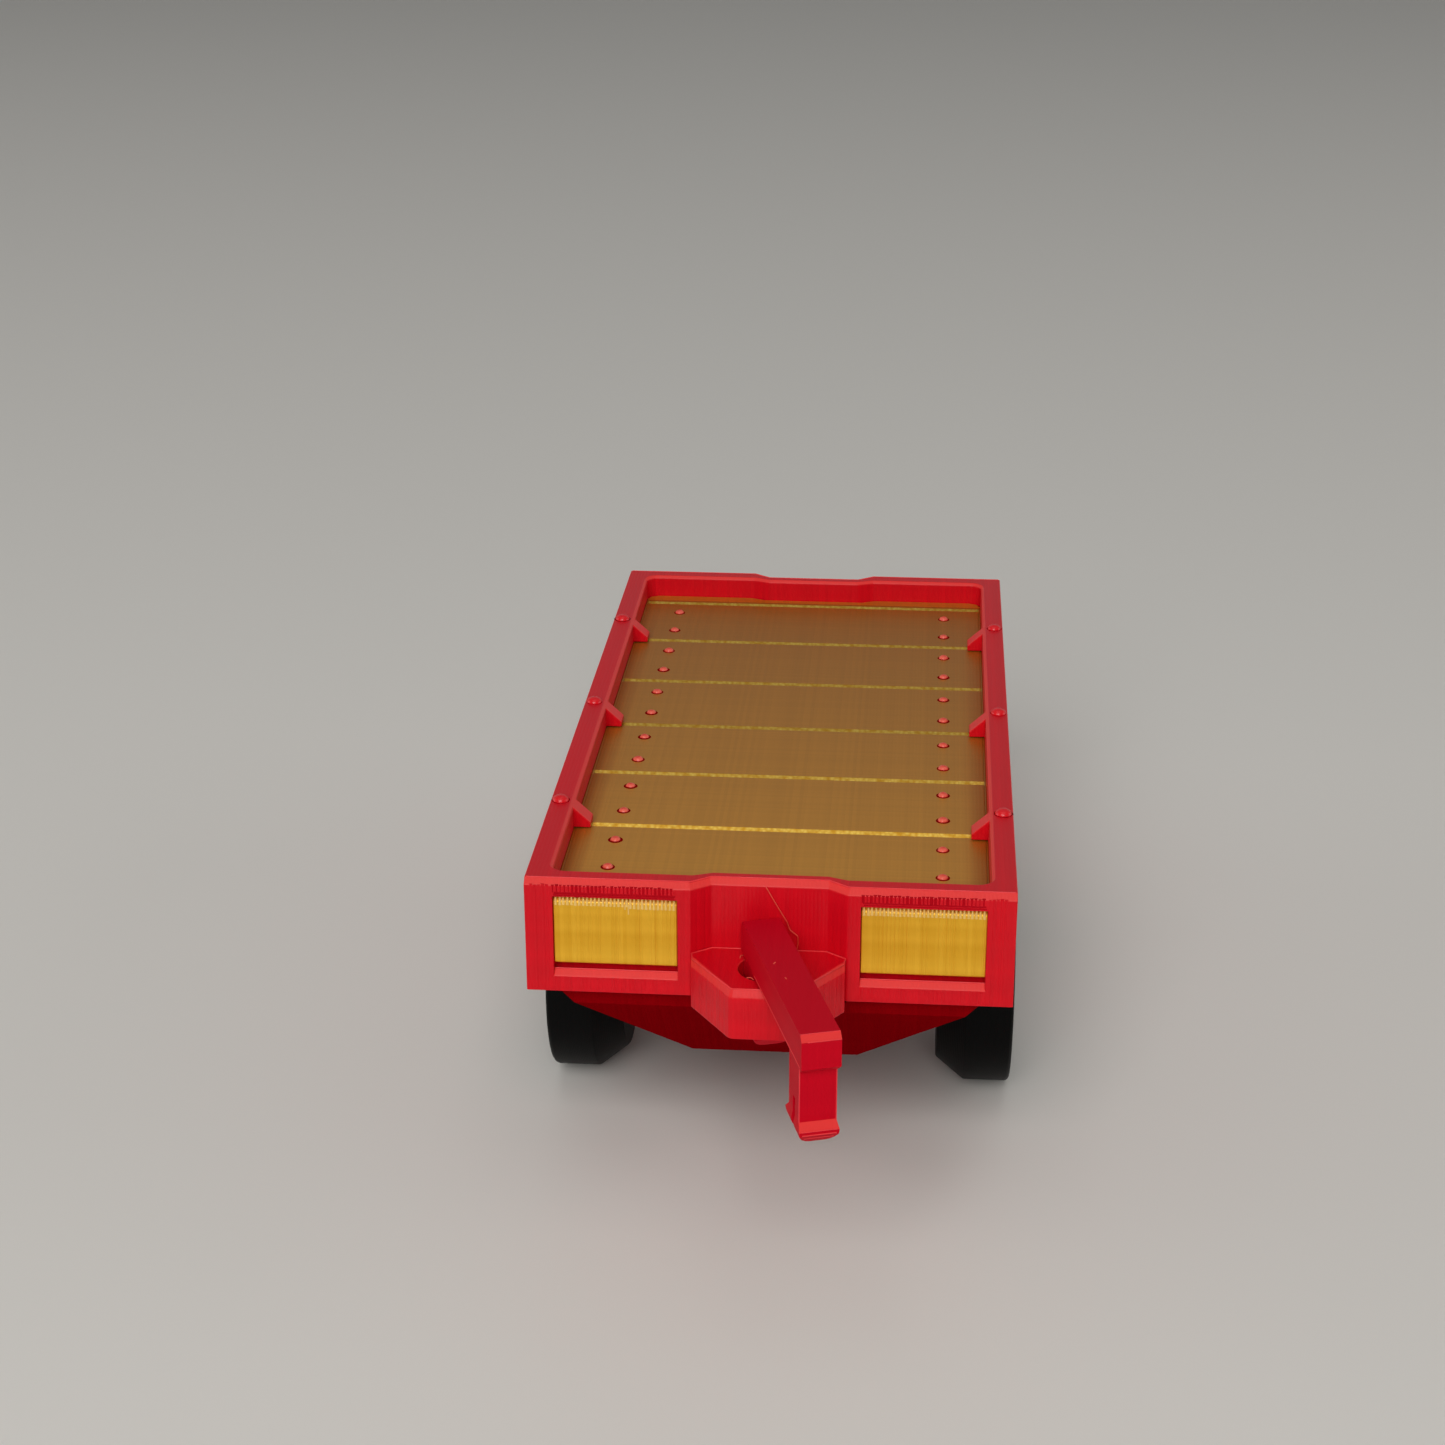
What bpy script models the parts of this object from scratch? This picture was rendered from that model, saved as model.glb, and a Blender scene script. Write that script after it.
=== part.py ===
"""Toy flatbed trailer with a snap-in drawbar link, as printed in coloured plastic.

Frame: X across, -Y towards the drawbar, +Z up. The floor is Z = 0 and the origin lies under the
middle of the whole trailer, link included. Sizes below are in millimetres.
"""
import math

import bmesh
import bpy
from mathutils import Matrix, Vector

MM = 0.001

# Bed: a frame of four walls round a grooved deck
BED_WIDTH = 52.0
BED_LENGTH = 102.0
BED_BOTTOM = 25.1        # floor to the underside of the walls
BED_HEIGHT = 13.2
WALL = 2.65
INNER_CORNER = 1.5
END_CHAMFER = 0.7        # outer top edge of the two end walls
INNER_CHAMFER = 0.35     # inner top edge all round
RECESS_DEPTH = 1.5       # the end walls step in here, behind the hitch
RECESS_FLOOR = 12.4      # width of the step at its bottom and at its mouth
RECESS_MOUTH = 16.6
RECESS_BULGE = 0.8       # how far the step shows on the inside

# Ribs inside the side walls, with a stud on the rim above each
RIB_REACH = 1.95
RIB_THICKNESS = 2.4
RIB_TIP_HEIGHT = 0.65
STUD_INSET = 1.12        # bed's side to the stud's axis
STUD_HEAD_RADIUS = 0.98
STUD_HEAD_HEIGHT = 0.55
STUD_SHANK_RADIUS = 0.6
STUD_SHANK_LENGTH = 4.0

# Deck board
DECK_DROP = 2.9          # rim to deck
DECK_THICKNESS = 2.6
PLANK_PITCH = 15.1
PLANK_COUNT = 6
GROOVE_WIDTH = 1.0
GROOVE_DEPTH = 0.45
RIVET_INSET = 5.1        # side wall to the rivets
RIVET_SPACING = 7.1      # the two rivets of one plank end
RIVET_RADIUS = 0.6
RIVET_DOME = 0.3

# Windows in the end walls and the panels that fill them
WINDOW_POST = 3.0        # bed's side to a window
WINDOW_BORDER = 1.4      # a window to the mouth of the step behind the hitch
WINDOW_TOP = 2.0         # below the rim
WINDOW_HEIGHT = 8.75
SILL_CHAMFER = 0.65
SILL_LIP = 0.2           # level part of the sill behind its slope
SLOT_DEPTH = 0.9         # the pocket drops behind the sill
PANEL_HEIGHT = 7.85
PANEL_THICKNESS = 1.25
PANEL_SETBACK = 0.35
PANEL_CHAMFER = 0.6      # along the top edge
PANEL_FOOT = 0.15        # chamfer along the bottom edge
PANEL_SIDE_GAP = 0.06

# Hull under the deck, tapering at 45 degrees
HULL_SIDE_GAP = 0.55     # inside of the side walls to the hull
HULL_SETBACK = 1.0       # front face of the hull behind the end wall's face
HULL_BAND = 1.75         # upright band before the front face slopes away
HULL_BOTTOM = 11.5

# Wheels and axles
WHEEL_RADIUS = 13.6
WHEEL_WIDTH = 8.7
TREAD_WIDTH = 5.4
TREAD_CHAMFER = 0.35
WHEEL_INNER_RADIUS = 11.0
DISH_RADIUS = 9.8
DISH_DEPTH = 1.5
HUB_RADIUS = 4.6
HUB_SETBACK = 0.4
WHEEL_PROUD = 1.0        # outer faces beyond the sides of the bed
WHEELBASE = 38.0
AXLE_RADIUS = 2.0
AXLE_END_SETBACK = 0.8   # axle end behind the hub's face
AXLE_END_CHAMFER = 0.3
AXLE_TUBE_WALL = 1.5

# Hitch shelves and the drawbar link
SHELF_TOP = 8.05         # below the rim
SHELF_THICKNESS = 5.7
SHELF_REACH = 8.15
SHELF_NOSE = 7.1
SHELF_CORNER = 1.0       # rounding of the nose's two corners
SHELF_STRAIGHT = 1.4
SHELF_CHAMFER = 0.4      # run of the steep chamfer round the top, and its drop
SHELF_CHAMFER_DROP = 0.9
HITCH_REACH = 2.9        # end wall's face to the hitch hole's axis
HITCH_HOLE_RADIUS = 3.05
LINK_PITCH = 19.75       # between the two pegs
LINK_END = 3.25          # peg axis to the bar's end
LINK_WIDTH = 4.05
LINK_HEIGHT = 4.1
LINK_CHAMFER = 0.6       # top edge of both ends
LINK_FOOT = 0.5          # bottom edge of both ends
LINK_SHOULDER = 0.5      # how high the bar's sides draw in to the pegs
PEG_WIDTH = 3.8
PEG_DEPTH = 4.1
PEG_BARB = 0.8           # how far a barb stands out along the bar
PEG_FLARE = 0.15         # and across it
PEG_BARB_HEIGHT = 0.75
PEG_LIP = 0.45
PEG_TIP = 1.0
PEG_TIP_DEPTH = 4.2
PEG_TIP_ROUND = 1.3
PEG_SLOT_WIDTH = 0.9
PEG_SLOT_DEPTH = 4.0
LINK_SWING = 17.0        # degrees from straight ahead, towards +X

# Clearances
SEAT_GAP = 0.3           # hidden seats
INLAY_GAP = 0.12         # inlays and seams that show
TURN_GAP = 0.5           # between wheels, axles and what they turn in
WELL_GAP = 1.0           # round a wheel in its well
AXLE_FIT = 0.15          # wheel bore over axle

ROUND_STEPS = 48
SMALL_STEPS = 12
HOLE_STEPS = 32

# Worked out from the sizes above
half_width = BED_WIDTH / 2
half_length = BED_LENGTH / 2
rim_z = BED_BOTTOM + BED_HEIGHT
deck_z = rim_z - DECK_DROP
hull_top_z = deck_z - DECK_THICKNESS - SEAT_GAP
shelf_z = rim_z - SHELF_TOP
shelf_bottom_z = shelf_z - SHELF_THICKNESS
hitch_y = -half_length - HITCH_REACH
swing = math.radians(LINK_SWING)
link_corners = [(LINK_END, LINK_WIDTH / 2), (PEG_DEPTH / 2 + PEG_BARB, PEG_WIDTH / 2 + PEG_FLARE)]
front_reach = max((LINK_PITCH + ahead) * math.cos(swing) + aside * math.sin(swing)
                  for ahead, aside in link_corners)
bed_y = (HITCH_REACH + front_reach - SHELF_REACH) / 2   # puts the origin under the middle
wheel_outer_x = half_width + WHEEL_PROUD
wheel_inner_x = wheel_outer_x - WHEEL_WIDTH
well_inner_x = wheel_inner_x - TURN_GAP
rivet_x = half_width - WALL - RIVET_INSET
stud_x = half_width - STUD_INSET
window_near_x = RECESS_MOUTH / 2 + WINDOW_BORDER
window_far_x = half_width - WINDOW_POST

# y of the grooves, ribs and axles, from the middle of the bed
groove_ys = [(i - PLANK_COUNT / 2) * PLANK_PITCH for i in range(PLANK_COUNT + 1)]
rib_ys = groove_ys[1:-1:2]
axle_ys = [-WHEELBASE / 2, WHEELBASE / 2]
ENDS = {"front": -1, "rear": 1}
SIDES = {"left": -1, "right": 1}


def clear_scene():
    for old in list(bpy.data.objects):
        bpy.data.objects.remove(old, do_unlink=True)


def new_collection(name):
    collection = bpy.data.collections.new(name)
    bpy.context.scene.collection.children.link(collection)
    return collection


def new_material(name, colour, roughness, metallic=0.0):
    material = bpy.data.materials.new(name)
    material.use_nodes = True
    shader = material.node_tree.nodes["Principled BSDF"]
    shader.inputs["Base Color"].default_value = (*colour, 1.0)
    shader.inputs["Roughness"].default_value = roughness
    shader.inputs["Metallic"].default_value = metallic
    material.diffuse_color = (*colour, 1.0)
    return material


def place(name, mesh, collection):
    obj = bpy.data.objects.new(name, mesh)
    collection.objects.link(obj)
    return obj


def as_piece(obj, name, material):
    """Names a finished object and gives it its plastic."""
    obj.name = name
    obj.data.name = name
    obj.data.materials.clear()
    obj.data.materials.append(material)
    return obj


def as_cutter(obj):
    for collection in list(obj.users_collection):
        collection.objects.unlink(obj)
    cutters.objects.link(obj)
    obj.hide_render = True
    obj.display_type = "WIRE"
    return obj


def baked(obj):
    """Turns an object's modifiers into plain mesh."""
    bpy.context.view_layer.update()
    evaluated = obj.evaluated_get(bpy.context.evaluated_depsgraph_get())
    mesh = bpy.data.meshes.new_from_object(evaluated)
    obj.modifiers.clear()
    obj.data = mesh
    return obj


def prism(name, outline, low, high, along="z"):
    """Extrudes a flat outline, in millimetres, from low to high along x, y or z.
    The outline is (x, y) along z, (x, z) along y and (y, z) along x."""
    curve = bpy.data.curves.new(name, "CURVE")
    curve.dimensions = "2D"
    curve.fill_mode = "BOTH"
    curve.extrude = (high - low) / 2 * MM
    spline = curve.splines.new("POLY")
    spline.points.add(len(outline) - 1)
    for point, (u, v) in zip(spline.points, outline):
        point.co = (u * MM, v * MM, 0, 1)
    spline.use_cyclic_u = True
    drawn = place(name, curve, parts)
    bpy.context.view_layer.update()
    evaluated = drawn.evaluated_get(bpy.context.evaluated_depsgraph_get())
    mesh = bpy.data.meshes.new_from_object(evaluated)
    bpy.data.objects.remove(drawn)
    middle = (low + high) / 2 * MM
    quarter = math.pi / 2
    turns = {
        "z": Matrix.Translation((0, 0, middle)),
        "y": Matrix.Translation((0, middle, 0)) @ Matrix.Rotation(quarter, 4, "X"),
        "x": Matrix.Translation((middle, 0, 0)) @ Matrix.Rotation(quarter, 4, "Z")
             @ Matrix.Rotation(quarter, 4, "X"),
    }
    shape = bmesh.new()
    shape.from_mesh(mesh)
    bmesh.ops.remove_doubles(shape, verts=shape.verts, dist=1e-6)
    bmesh.ops.transform(shape, matrix=turns[along], verts=shape.verts)
    bmesh.ops.recalc_face_normals(shape, faces=shape.faces)
    bmesh.ops.dissolve_limit(shape, angle_limit=0.001, verts=shape.verts, edges=shape.edges)
    shape.to_mesh(mesh)
    shape.free()
    return place(name, mesh, parts)


def joined(name, makers):
    """One object from several closed shapes that don't touch; each maker adds one to the bmesh."""
    shape = bmesh.new()
    for maker in makers:
        maker(shape)
    mesh = bpy.data.meshes.new(name)
    shape.to_mesh(mesh)
    shape.free()
    return place(name, mesh, parts)


def rod_maker(radius, start, end, steps):
    """A cylinder between two points, in millimetres."""
    start, end = Vector(start) * MM, Vector(end) * MM
    axis = end - start
    turn = axis.to_track_quat("Z", "Y").to_matrix().to_4x4()
    matrix = Matrix.Translation((start + end) / 2) @ turn

    def maker(shape):
        bmesh.ops.create_cone(shape, cap_ends=True, segments=steps, radius1=radius * MM,
                              radius2=radius * MM, depth=axis.length, matrix=matrix)
    return maker


def combine(target, tool, operation):
    change = target.modifiers.new(operation.lower(), "BOOLEAN")
    change.operation = operation
    change.solver = "EXACT"
    change.object = as_cutter(tool)
    return target


def bevel_edges(obj, chosen, width):
    """Cuts a flat chamfer along the edges that chosen picks by their two end points, in millimetres."""
    shape = bmesh.new()
    shape.from_mesh(obj.data)
    bmesh.ops.dissolve_limit(shape, angle_limit=0.001, verts=shape.verts, edges=shape.edges)
    edges = [e for e in shape.edges if chosen(e.verts[0].co / MM, e.verts[1].co / MM)]
    bmesh.ops.bevel(shape, geom=edges, offset=width * MM, segments=1, affect="EDGES", clamp_overlap=True)
    shape.to_mesh(obj.data)
    shape.free()
    return obj


def smooth_round(obj, angle=35):
    obj.data.shade_smooth()
    obj.data.set_sharp_from_angle(angle=math.radians(angle))


def bed_outline(inset, gap, jog, corner):
    """Outline of the bed at an inset from its outside. Both ends step by jog behind the hitch."""
    width = half_width - inset - gap
    length = half_length - inset - gap
    floor = RECESS_FLOOR / 2 + gap
    mouth = RECESS_MOUTH / 2 + gap

    def arc(side, first):
        if not corner:
            return [(side * width, -length)]
        steps = [first + math.pi / 2 * i / 5 for i in range(6)]
        centre_x, centre_y = side * (width - corner), -length + corner
        return [(centre_x + corner * math.cos(a), centre_y + corner * math.sin(a)) for a in steps]

    end = arc(-1, math.pi)
    end += [(-mouth, -length), (-floor, -length + jog), (floor, -length + jog), (mouth, -length)]
    end += arc(1, 1.5 * math.pi)
    return end + [(-x, -y) for x, y in end]


def make_bed_frame(red):
    frame = prism("bed_frame", bed_outline(0, 0, RECESS_DEPTH, 0), BED_BOTTOM, rim_z)
    inside = prism("bed_inside", bed_outline(WALL, 0, RECESS_BULGE, INNER_CORNER), BED_BOTTOM - 1, rim_z + 1)
    baked(combine(frame, inside, "DIFFERENCE"))

    def on_top(a, b):
        return abs(a.z - rim_z) < 0.01 and abs(b.z - rim_z) < 0.01

    def outer_end_edge(a, b):
        ends_out = min(abs(a.y), abs(b.y)) > half_length - RECESS_DEPTH - 0.01
        return on_top(a, b) and ends_out and abs(a.x + b.x) < BED_WIDTH - 0.01

    def inner_edge(a, b):
        return on_top(a, b) and max(abs(a.y), abs(b.y)) < half_length - WALL + 0.01

    bevel_edges(frame, outer_end_edge, END_CHAMFER)
    bevel_edges(frame, inner_edge, INNER_CHAMFER)

    # Ribs: a right-angled wedge from the rim's inner edge down to the deck
    root_x = half_width - WALL
    rib_top = rim_z - INNER_CHAMFER
    rib_foot = deck_z + INLAY_GAP
    for side in SIDES.values():
        for number, y in enumerate(rib_ys):
            wedge = [(side * (root_x + WALL / 3), rib_top), (side * root_x, rib_top),
                     (side * (root_x - RIB_REACH), rib_foot + RIB_TIP_HEIGHT),
                     (side * (root_x - RIB_REACH), rib_foot), (side * (root_x + WALL / 3), rib_foot)]
            rib = prism(f"rib_{side}_{number}", wedge, y - RIB_THICKNESS / 2, y + RIB_THICKNESS / 2, "y")
            combine(frame, rib, "UNION")

    # Windows, with a sloping sill and a slot behind it
    top = rim_z - WINDOW_TOP
    floor = top - WINDOW_HEIGHT
    depth = PANEL_SETBACK + PANEL_THICKNESS + INLAY_GAP
    lip = SILL_CHAMFER + SILL_LIP
    for end_name, end in ENDS.items():
        face = end * half_length
        pocket = [(face + end, top), (face - end * depth, top), (face - end * depth, floor - SLOT_DEPTH),
                  (face - end * lip, floor - SLOT_DEPTH), (face - end * lip, floor),
                  (face - end * SILL_CHAMFER, floor), (face, floor - SILL_CHAMFER),
                  (face + end, floor - SILL_CHAMFER - 1)]
        for side_name, side in SIDES.items():
            near, far = sorted((side * window_near_x, side * window_far_x))
            window = prism(f"window_{end_name}_{side_name}", pocket, near, far, "x")
            combine(frame, window, "DIFFERENCE")

    combine(frame, wheel_wells("frame_wells"), "DIFFERENCE")
    holes = []
    hole_radius = STUD_SHANK_RADIUS + INLAY_GAP
    for side in SIDES.values():
        for y in rib_ys:
            bottom = (side * stud_x, y, rim_z - STUD_SHANK_LENGTH - SEAT_GAP)
            holes.append(rod_maker(hole_radius, bottom, (side * stud_x, y, rim_z + 1), SMALL_STEPS))
    combine(frame, joined("stud_holes", holes), "DIFFERENCE")
    return as_piece(frame, "bed_frame", red)


def wheel_wells(name):
    """The four round spaces that the wheels turn in."""
    radius = WHEEL_RADIUS + WELL_GAP
    wells = []
    for side in SIDES.values():
        for y in axle_ys:
            near = (side * well_inner_x, y, WHEEL_RADIUS)
            far = (side * (half_width + 4), y, WHEEL_RADIUS)
            wells.append(rod_maker(radius, near, far, ROUND_STEPS))
    return joined(name, wells)


def make_hull(red):
    """The lower body: a block under the deck that goes over into a 45 degree taper."""
    seam = BED_BOTTOM - INLAY_GAP
    inside_length = half_length - WALL - RECESS_BULGE - SEAT_GAP
    top_half = half_width - WALL - HULL_SIDE_GAP
    drop = seam - HULL_BOTTOM
    length = half_length - HULL_SETBACK
    across = [(top_half, hull_top_z), (-top_half, hull_top_z), (-top_half, seam),
              (-top_half + drop, HULL_BOTTOM), (top_half - drop, HULL_BOTTOM), (top_half, seam)]
    slope = drop - HULL_BAND
    along = [(inside_length, hull_top_z), (-inside_length, hull_top_z), (-inside_length, seam),
             (-length, seam), (-length, seam - HULL_BAND), (-length + slope, HULL_BOTTOM),
             (length - slope, HULL_BOTTOM), (length, seam - HULL_BAND), (length, seam),
             (inside_length, seam)]
    hull = prism("chassis_hull", across, -half_length, half_length, "y")
    combine(hull, prism("hull_side_profile", along, -half_width, half_width, "x"), "INTERSECT")
    combine(hull, wheel_wells("hull_wells"), "DIFFERENCE")
    half = RECESS_MOUTH / 2
    floor = shelf_bottom_z - INLAY_GAP
    for end_name, end in ENDS.items():
        near, far = sorted((end * (half_length - RECESS_DEPTH), end * (half_length + 1)))
        notch = [(-half, near), (half, near), (half, far), (-half, far)]
        combine(hull, prism(f"{end_name}_shelf_notch", notch, floor, seam + 1), "DIFFERENCE")
    bore = AXLE_RADIUS + TURN_GAP
    tubes, bores = [], []
    for y in axle_ys:
        left, right = (-well_inner_x, y, WHEEL_RADIUS), (well_inner_x, y, WHEEL_RADIUS)
        tubes.append(rod_maker(bore + AXLE_TUBE_WALL, left, right, HOLE_STEPS))
        left, right = (-half_width, y, WHEEL_RADIUS), (half_width, y, WHEEL_RADIUS)
        bores.append(rod_maker(bore, left, right, HOLE_STEPS))
    combine(hull, joined("axle_tubes", tubes), "UNION")
    combine(hull, joined("axle_bores", bores), "DIFFERENCE")
    return as_piece(hull, "chassis_hull", red)


def make_deck(gold):
    deck = prism("deck_board", bed_outline(WALL, SEAT_GAP, RECESS_BULGE, INNER_CORNER),
                 deck_z - DECK_THICKNESS, deck_z)
    half_groove = GROOVE_WIDTH / 2
    edge = half_width + 1
    for number, y in enumerate(groove_ys):
        vee = [(y - 2 * half_groove, deck_z + GROOVE_DEPTH), (y, deck_z - GROOVE_DEPTH),
               (y + 2 * half_groove, deck_z + GROOVE_DEPTH)]
        combine(deck, prism(f"groove_{number}", vee, -edge, edge, "x"), "DIFFERENCE")
    below = deck_z - DECK_THICKNESS - 1
    holes = [rod_maker(RIVET_RADIUS + INLAY_GAP, (x, y, below), (x, y, deck_z + 1), SMALL_STEPS)
             for x, y in rivet_places()]
    combine(deck, joined("rivet_holes", holes), "DIFFERENCE")
    return as_piece(deck, "deck_board", gold)


def rivet_places():
    """(x, y) of every rivet: two at each end of each plank."""
    places = []
    for side in SIDES.values():
        for front in groove_ys[:-1]:
            middle = front + PLANK_PITCH / 2
            places.append((side * rivet_x, middle - RIVET_SPACING / 2))
            places.append((side * rivet_x, middle + RIVET_SPACING / 2))
    return places


def turned(name, profile, steps, closed):
    """Spins an (r, z) profile, in millimetres, about Z. It runs down the outer side."""
    mesh = bpy.data.meshes.new(name)
    last = len(profile) - 1
    edges = [(i, i + 1) for i in range(last)]
    if closed:
        edges.append((last, 0))
    mesh.from_pydata([(r * MM, 0, z * MM) for r, z in profile], edges, [])
    obj = place(name, mesh, parts)
    screw = obj.modifiers.new("turn", "SCREW")
    screw.steps = screw.render_steps = steps
    screw.use_merge_vertices = True
    screw.merge_threshold = 1e-6
    screw.use_smooth_shade = True
    baked(obj)
    smooth_round(obj)
    return obj


def dome(radius, height, base, count=4):
    """Profile of a rounded head, from its top down to its edge."""
    angles = [math.pi / 2 * (1 - i / count) for i in range(count + 1)]
    return [(radius * math.cos(a), base + height * math.sin(a)) for a in angles]


def make_rivets(red):
    length = DECK_THICKNESS
    profile = dome(RIVET_RADIUS, RIVET_DOME, 0, 3) + [(RIVET_RADIUS, -length), (0, -length)]
    profile[0] = (0, RIVET_DOME)
    first = turned("rivet", profile, SMALL_STEPS, False)
    mesh = first.data
    bpy.data.objects.remove(first)
    mesh.materials.append(red)
    for number, (x, y) in enumerate(rivet_places(), 1):
        rivet = place(f"deck_rivet_{number:02d}", mesh, parts)
        rivet.location = (x * MM, y * MM, deck_z * MM)


def make_studs(red):
    head = dome(STUD_HEAD_RADIUS, STUD_HEAD_HEIGHT, INLAY_GAP)
    head[0] = (0, INLAY_GAP + STUD_HEAD_HEIGHT)
    shank = [(STUD_SHANK_RADIUS, INLAY_GAP), (STUD_SHANK_RADIUS, -STUD_SHANK_LENGTH),
             (0, -STUD_SHANK_LENGTH)]
    first = turned("stud", head + shank, SMALL_STEPS + 4, False)
    mesh = first.data
    bpy.data.objects.remove(first)
    mesh.materials.append(red)
    for side_name, side in SIDES.items():
        for number, y in enumerate(rib_ys, 1):
            stud = place(f"rim_stud_{side_name}_{number}", mesh, parts)
            stud.location = (side * stud_x * MM, y * MM, rim_z * MM)


def make_panels(gold):
    """Flat tiles that fill the windows, chamfered along their top and bottom edges."""
    top = rim_z - WINDOW_TOP - INLAY_GAP
    bottom = top - PANEL_HEIGHT
    for end_name, end in ENDS.items():
        face = end * (half_length - PANEL_SETBACK)
        back = face - end * PANEL_THICKNESS
        section = [(back, top), (face - end * PANEL_CHAMFER, top), (face, top - PANEL_CHAMFER),
                   (face, bottom + PANEL_FOOT), (face - end * PANEL_FOOT, bottom), (back, bottom)]
        for side_name, side in SIDES.items():
            sides = (window_near_x + PANEL_SIDE_GAP, window_far_x - PANEL_SIDE_GAP)
            near, far = sorted(side * x for x in sides)
            panel = prism("panel", section, near, far, "x")
            as_piece(panel, f"{end_name}_panel_{side_name}", gold)


def rounded_corner(before, corner, after, radius, count=4):
    """Points of an arc that rounds one corner of an outline."""
    before, corner, after = Vector(before), Vector(corner), Vector(after)
    incoming = (before - corner).normalized()
    outgoing = (after - corner).normalized()
    half_angle = incoming.angle(outgoing) / 2
    centre = corner + (incoming + outgoing).normalized() * radius / math.sin(half_angle)
    start = corner + incoming * radius / math.tan(half_angle) - centre
    end = corner + outgoing * radius / math.tan(half_angle) - centre
    return [tuple(centre + start.slerp(end, i / count)) for i in range(count + 1)]


def make_shelves(red):
    """Blocks on the end walls that hold the hitch holes. Each follows the wall's step behind it."""
    nose = SHELF_NOSE / 2
    floor, mouth = RECESS_FLOOR / 2 - INLAY_GAP, RECESS_MOUTH / 2 - INLAY_GAP
    for end_name, end in ENDS.items():
        wall = end * (half_length + INLAY_GAP - RECESS_DEPTH)
        face = end * (half_length + INLAY_GAP)
        straight = end * (half_length + SHELF_STRAIGHT)
        tip = end * (half_length + SHELF_REACH)
        half = [(floor, wall), (mouth, face)]
        half += [(mouth, straight)] + rounded_corner((mouth, straight), (nose, tip), (0, tip), SHELF_CORNER)
        outline = half + [(-x, y) for x, y in reversed(half)]
        shelf = prism("shelf", outline, shelf_bottom_z, shelf_z)

        def upper_edge(a, b, straight=straight):
            on_top = abs(a.z - shelf_z) < 0.01 and abs(b.z - shelf_z) < 0.01
            return on_top and min(abs(a.y), abs(b.y)) > abs(straight) - 0.01

        bevel_edges(shelf, upper_edge, SHELF_CHAMFER)
        for vertex in shelf.data.vertices:
            if abs(vertex.co.z / MM - (shelf_z - SHELF_CHAMFER)) < 0.01:
                vertex.co.z = (shelf_z - SHELF_CHAMFER_DROP) * MM
        y = end * (half_length + HITCH_REACH)
        hole = rod_maker(HITCH_HOLE_RADIUS, (0, y, shelf_bottom_z - 1), (0, y, shelf_z + 1), HOLE_STEPS)
        combine(shelf, joined(f"{end_name}_hitch_hole", [hole]), "DIFFERENCE")
        as_piece(shelf, f"hitch_shelf_{end_name}", red)


def make_wheels(black):
    """Dished wheels with a bevelled inner flank, turned about their axles."""
    bore = AXLE_RADIUS + AXLE_FIT
    flank = WHEEL_WIDTH - TREAD_WIDTH
    dish = WHEEL_WIDTH - DISH_DEPTH
    hub = WHEEL_WIDTH - HUB_SETBACK
    profile = [(bore, hub), (HUB_RADIUS, hub), (HUB_RADIUS + 0.4, dish), (DISH_RADIUS, dish),
               (DISH_RADIUS + 0.7, WHEEL_WIDTH), (WHEEL_RADIUS - TREAD_CHAMFER, WHEEL_WIDTH),
               (WHEEL_RADIUS, WHEEL_WIDTH - TREAD_CHAMFER), (WHEEL_RADIUS, flank),
               (WHEEL_INNER_RADIUS, 0), (bore, 0)]
    first = turned("wheel", profile, ROUND_STEPS, True)
    mesh = first.data
    bpy.data.objects.remove(first)
    mesh.materials.append(black)
    for end_name, y in zip(ENDS, axle_ys):
        for side_name, side in SIDES.items():
            wheel = place(f"wheel_{end_name}_{side_name}", mesh, parts)
            wheel.rotation_euler = (0, side * math.pi / 2, 0)
            wheel.location = (side * wheel_inner_x * MM, y * MM, WHEEL_RADIUS * MM)


def make_axles(black):
    half = wheel_outer_x - HUB_SETBACK - AXLE_END_SETBACK
    edge = AXLE_RADIUS - AXLE_END_CHAMFER
    profile = [(0, half), (edge, half), (AXLE_RADIUS, half - AXLE_END_CHAMFER),
               (AXLE_RADIUS, AXLE_END_CHAMFER - half), (edge, -half), (0, -half)]
    first = turned("axle", profile, 2 * SMALL_STEPS, False)
    mesh = first.data
    bpy.data.objects.remove(first)
    mesh.materials.append(black)
    for end_name, y in zip(ENDS, axle_ys):
        axle = place(f"axle_{end_name}", mesh, parts)
        axle.rotation_euler = (0, math.pi / 2, 0)
        axle.location = (0, y * MM, WHEEL_RADIUS * MM)


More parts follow.
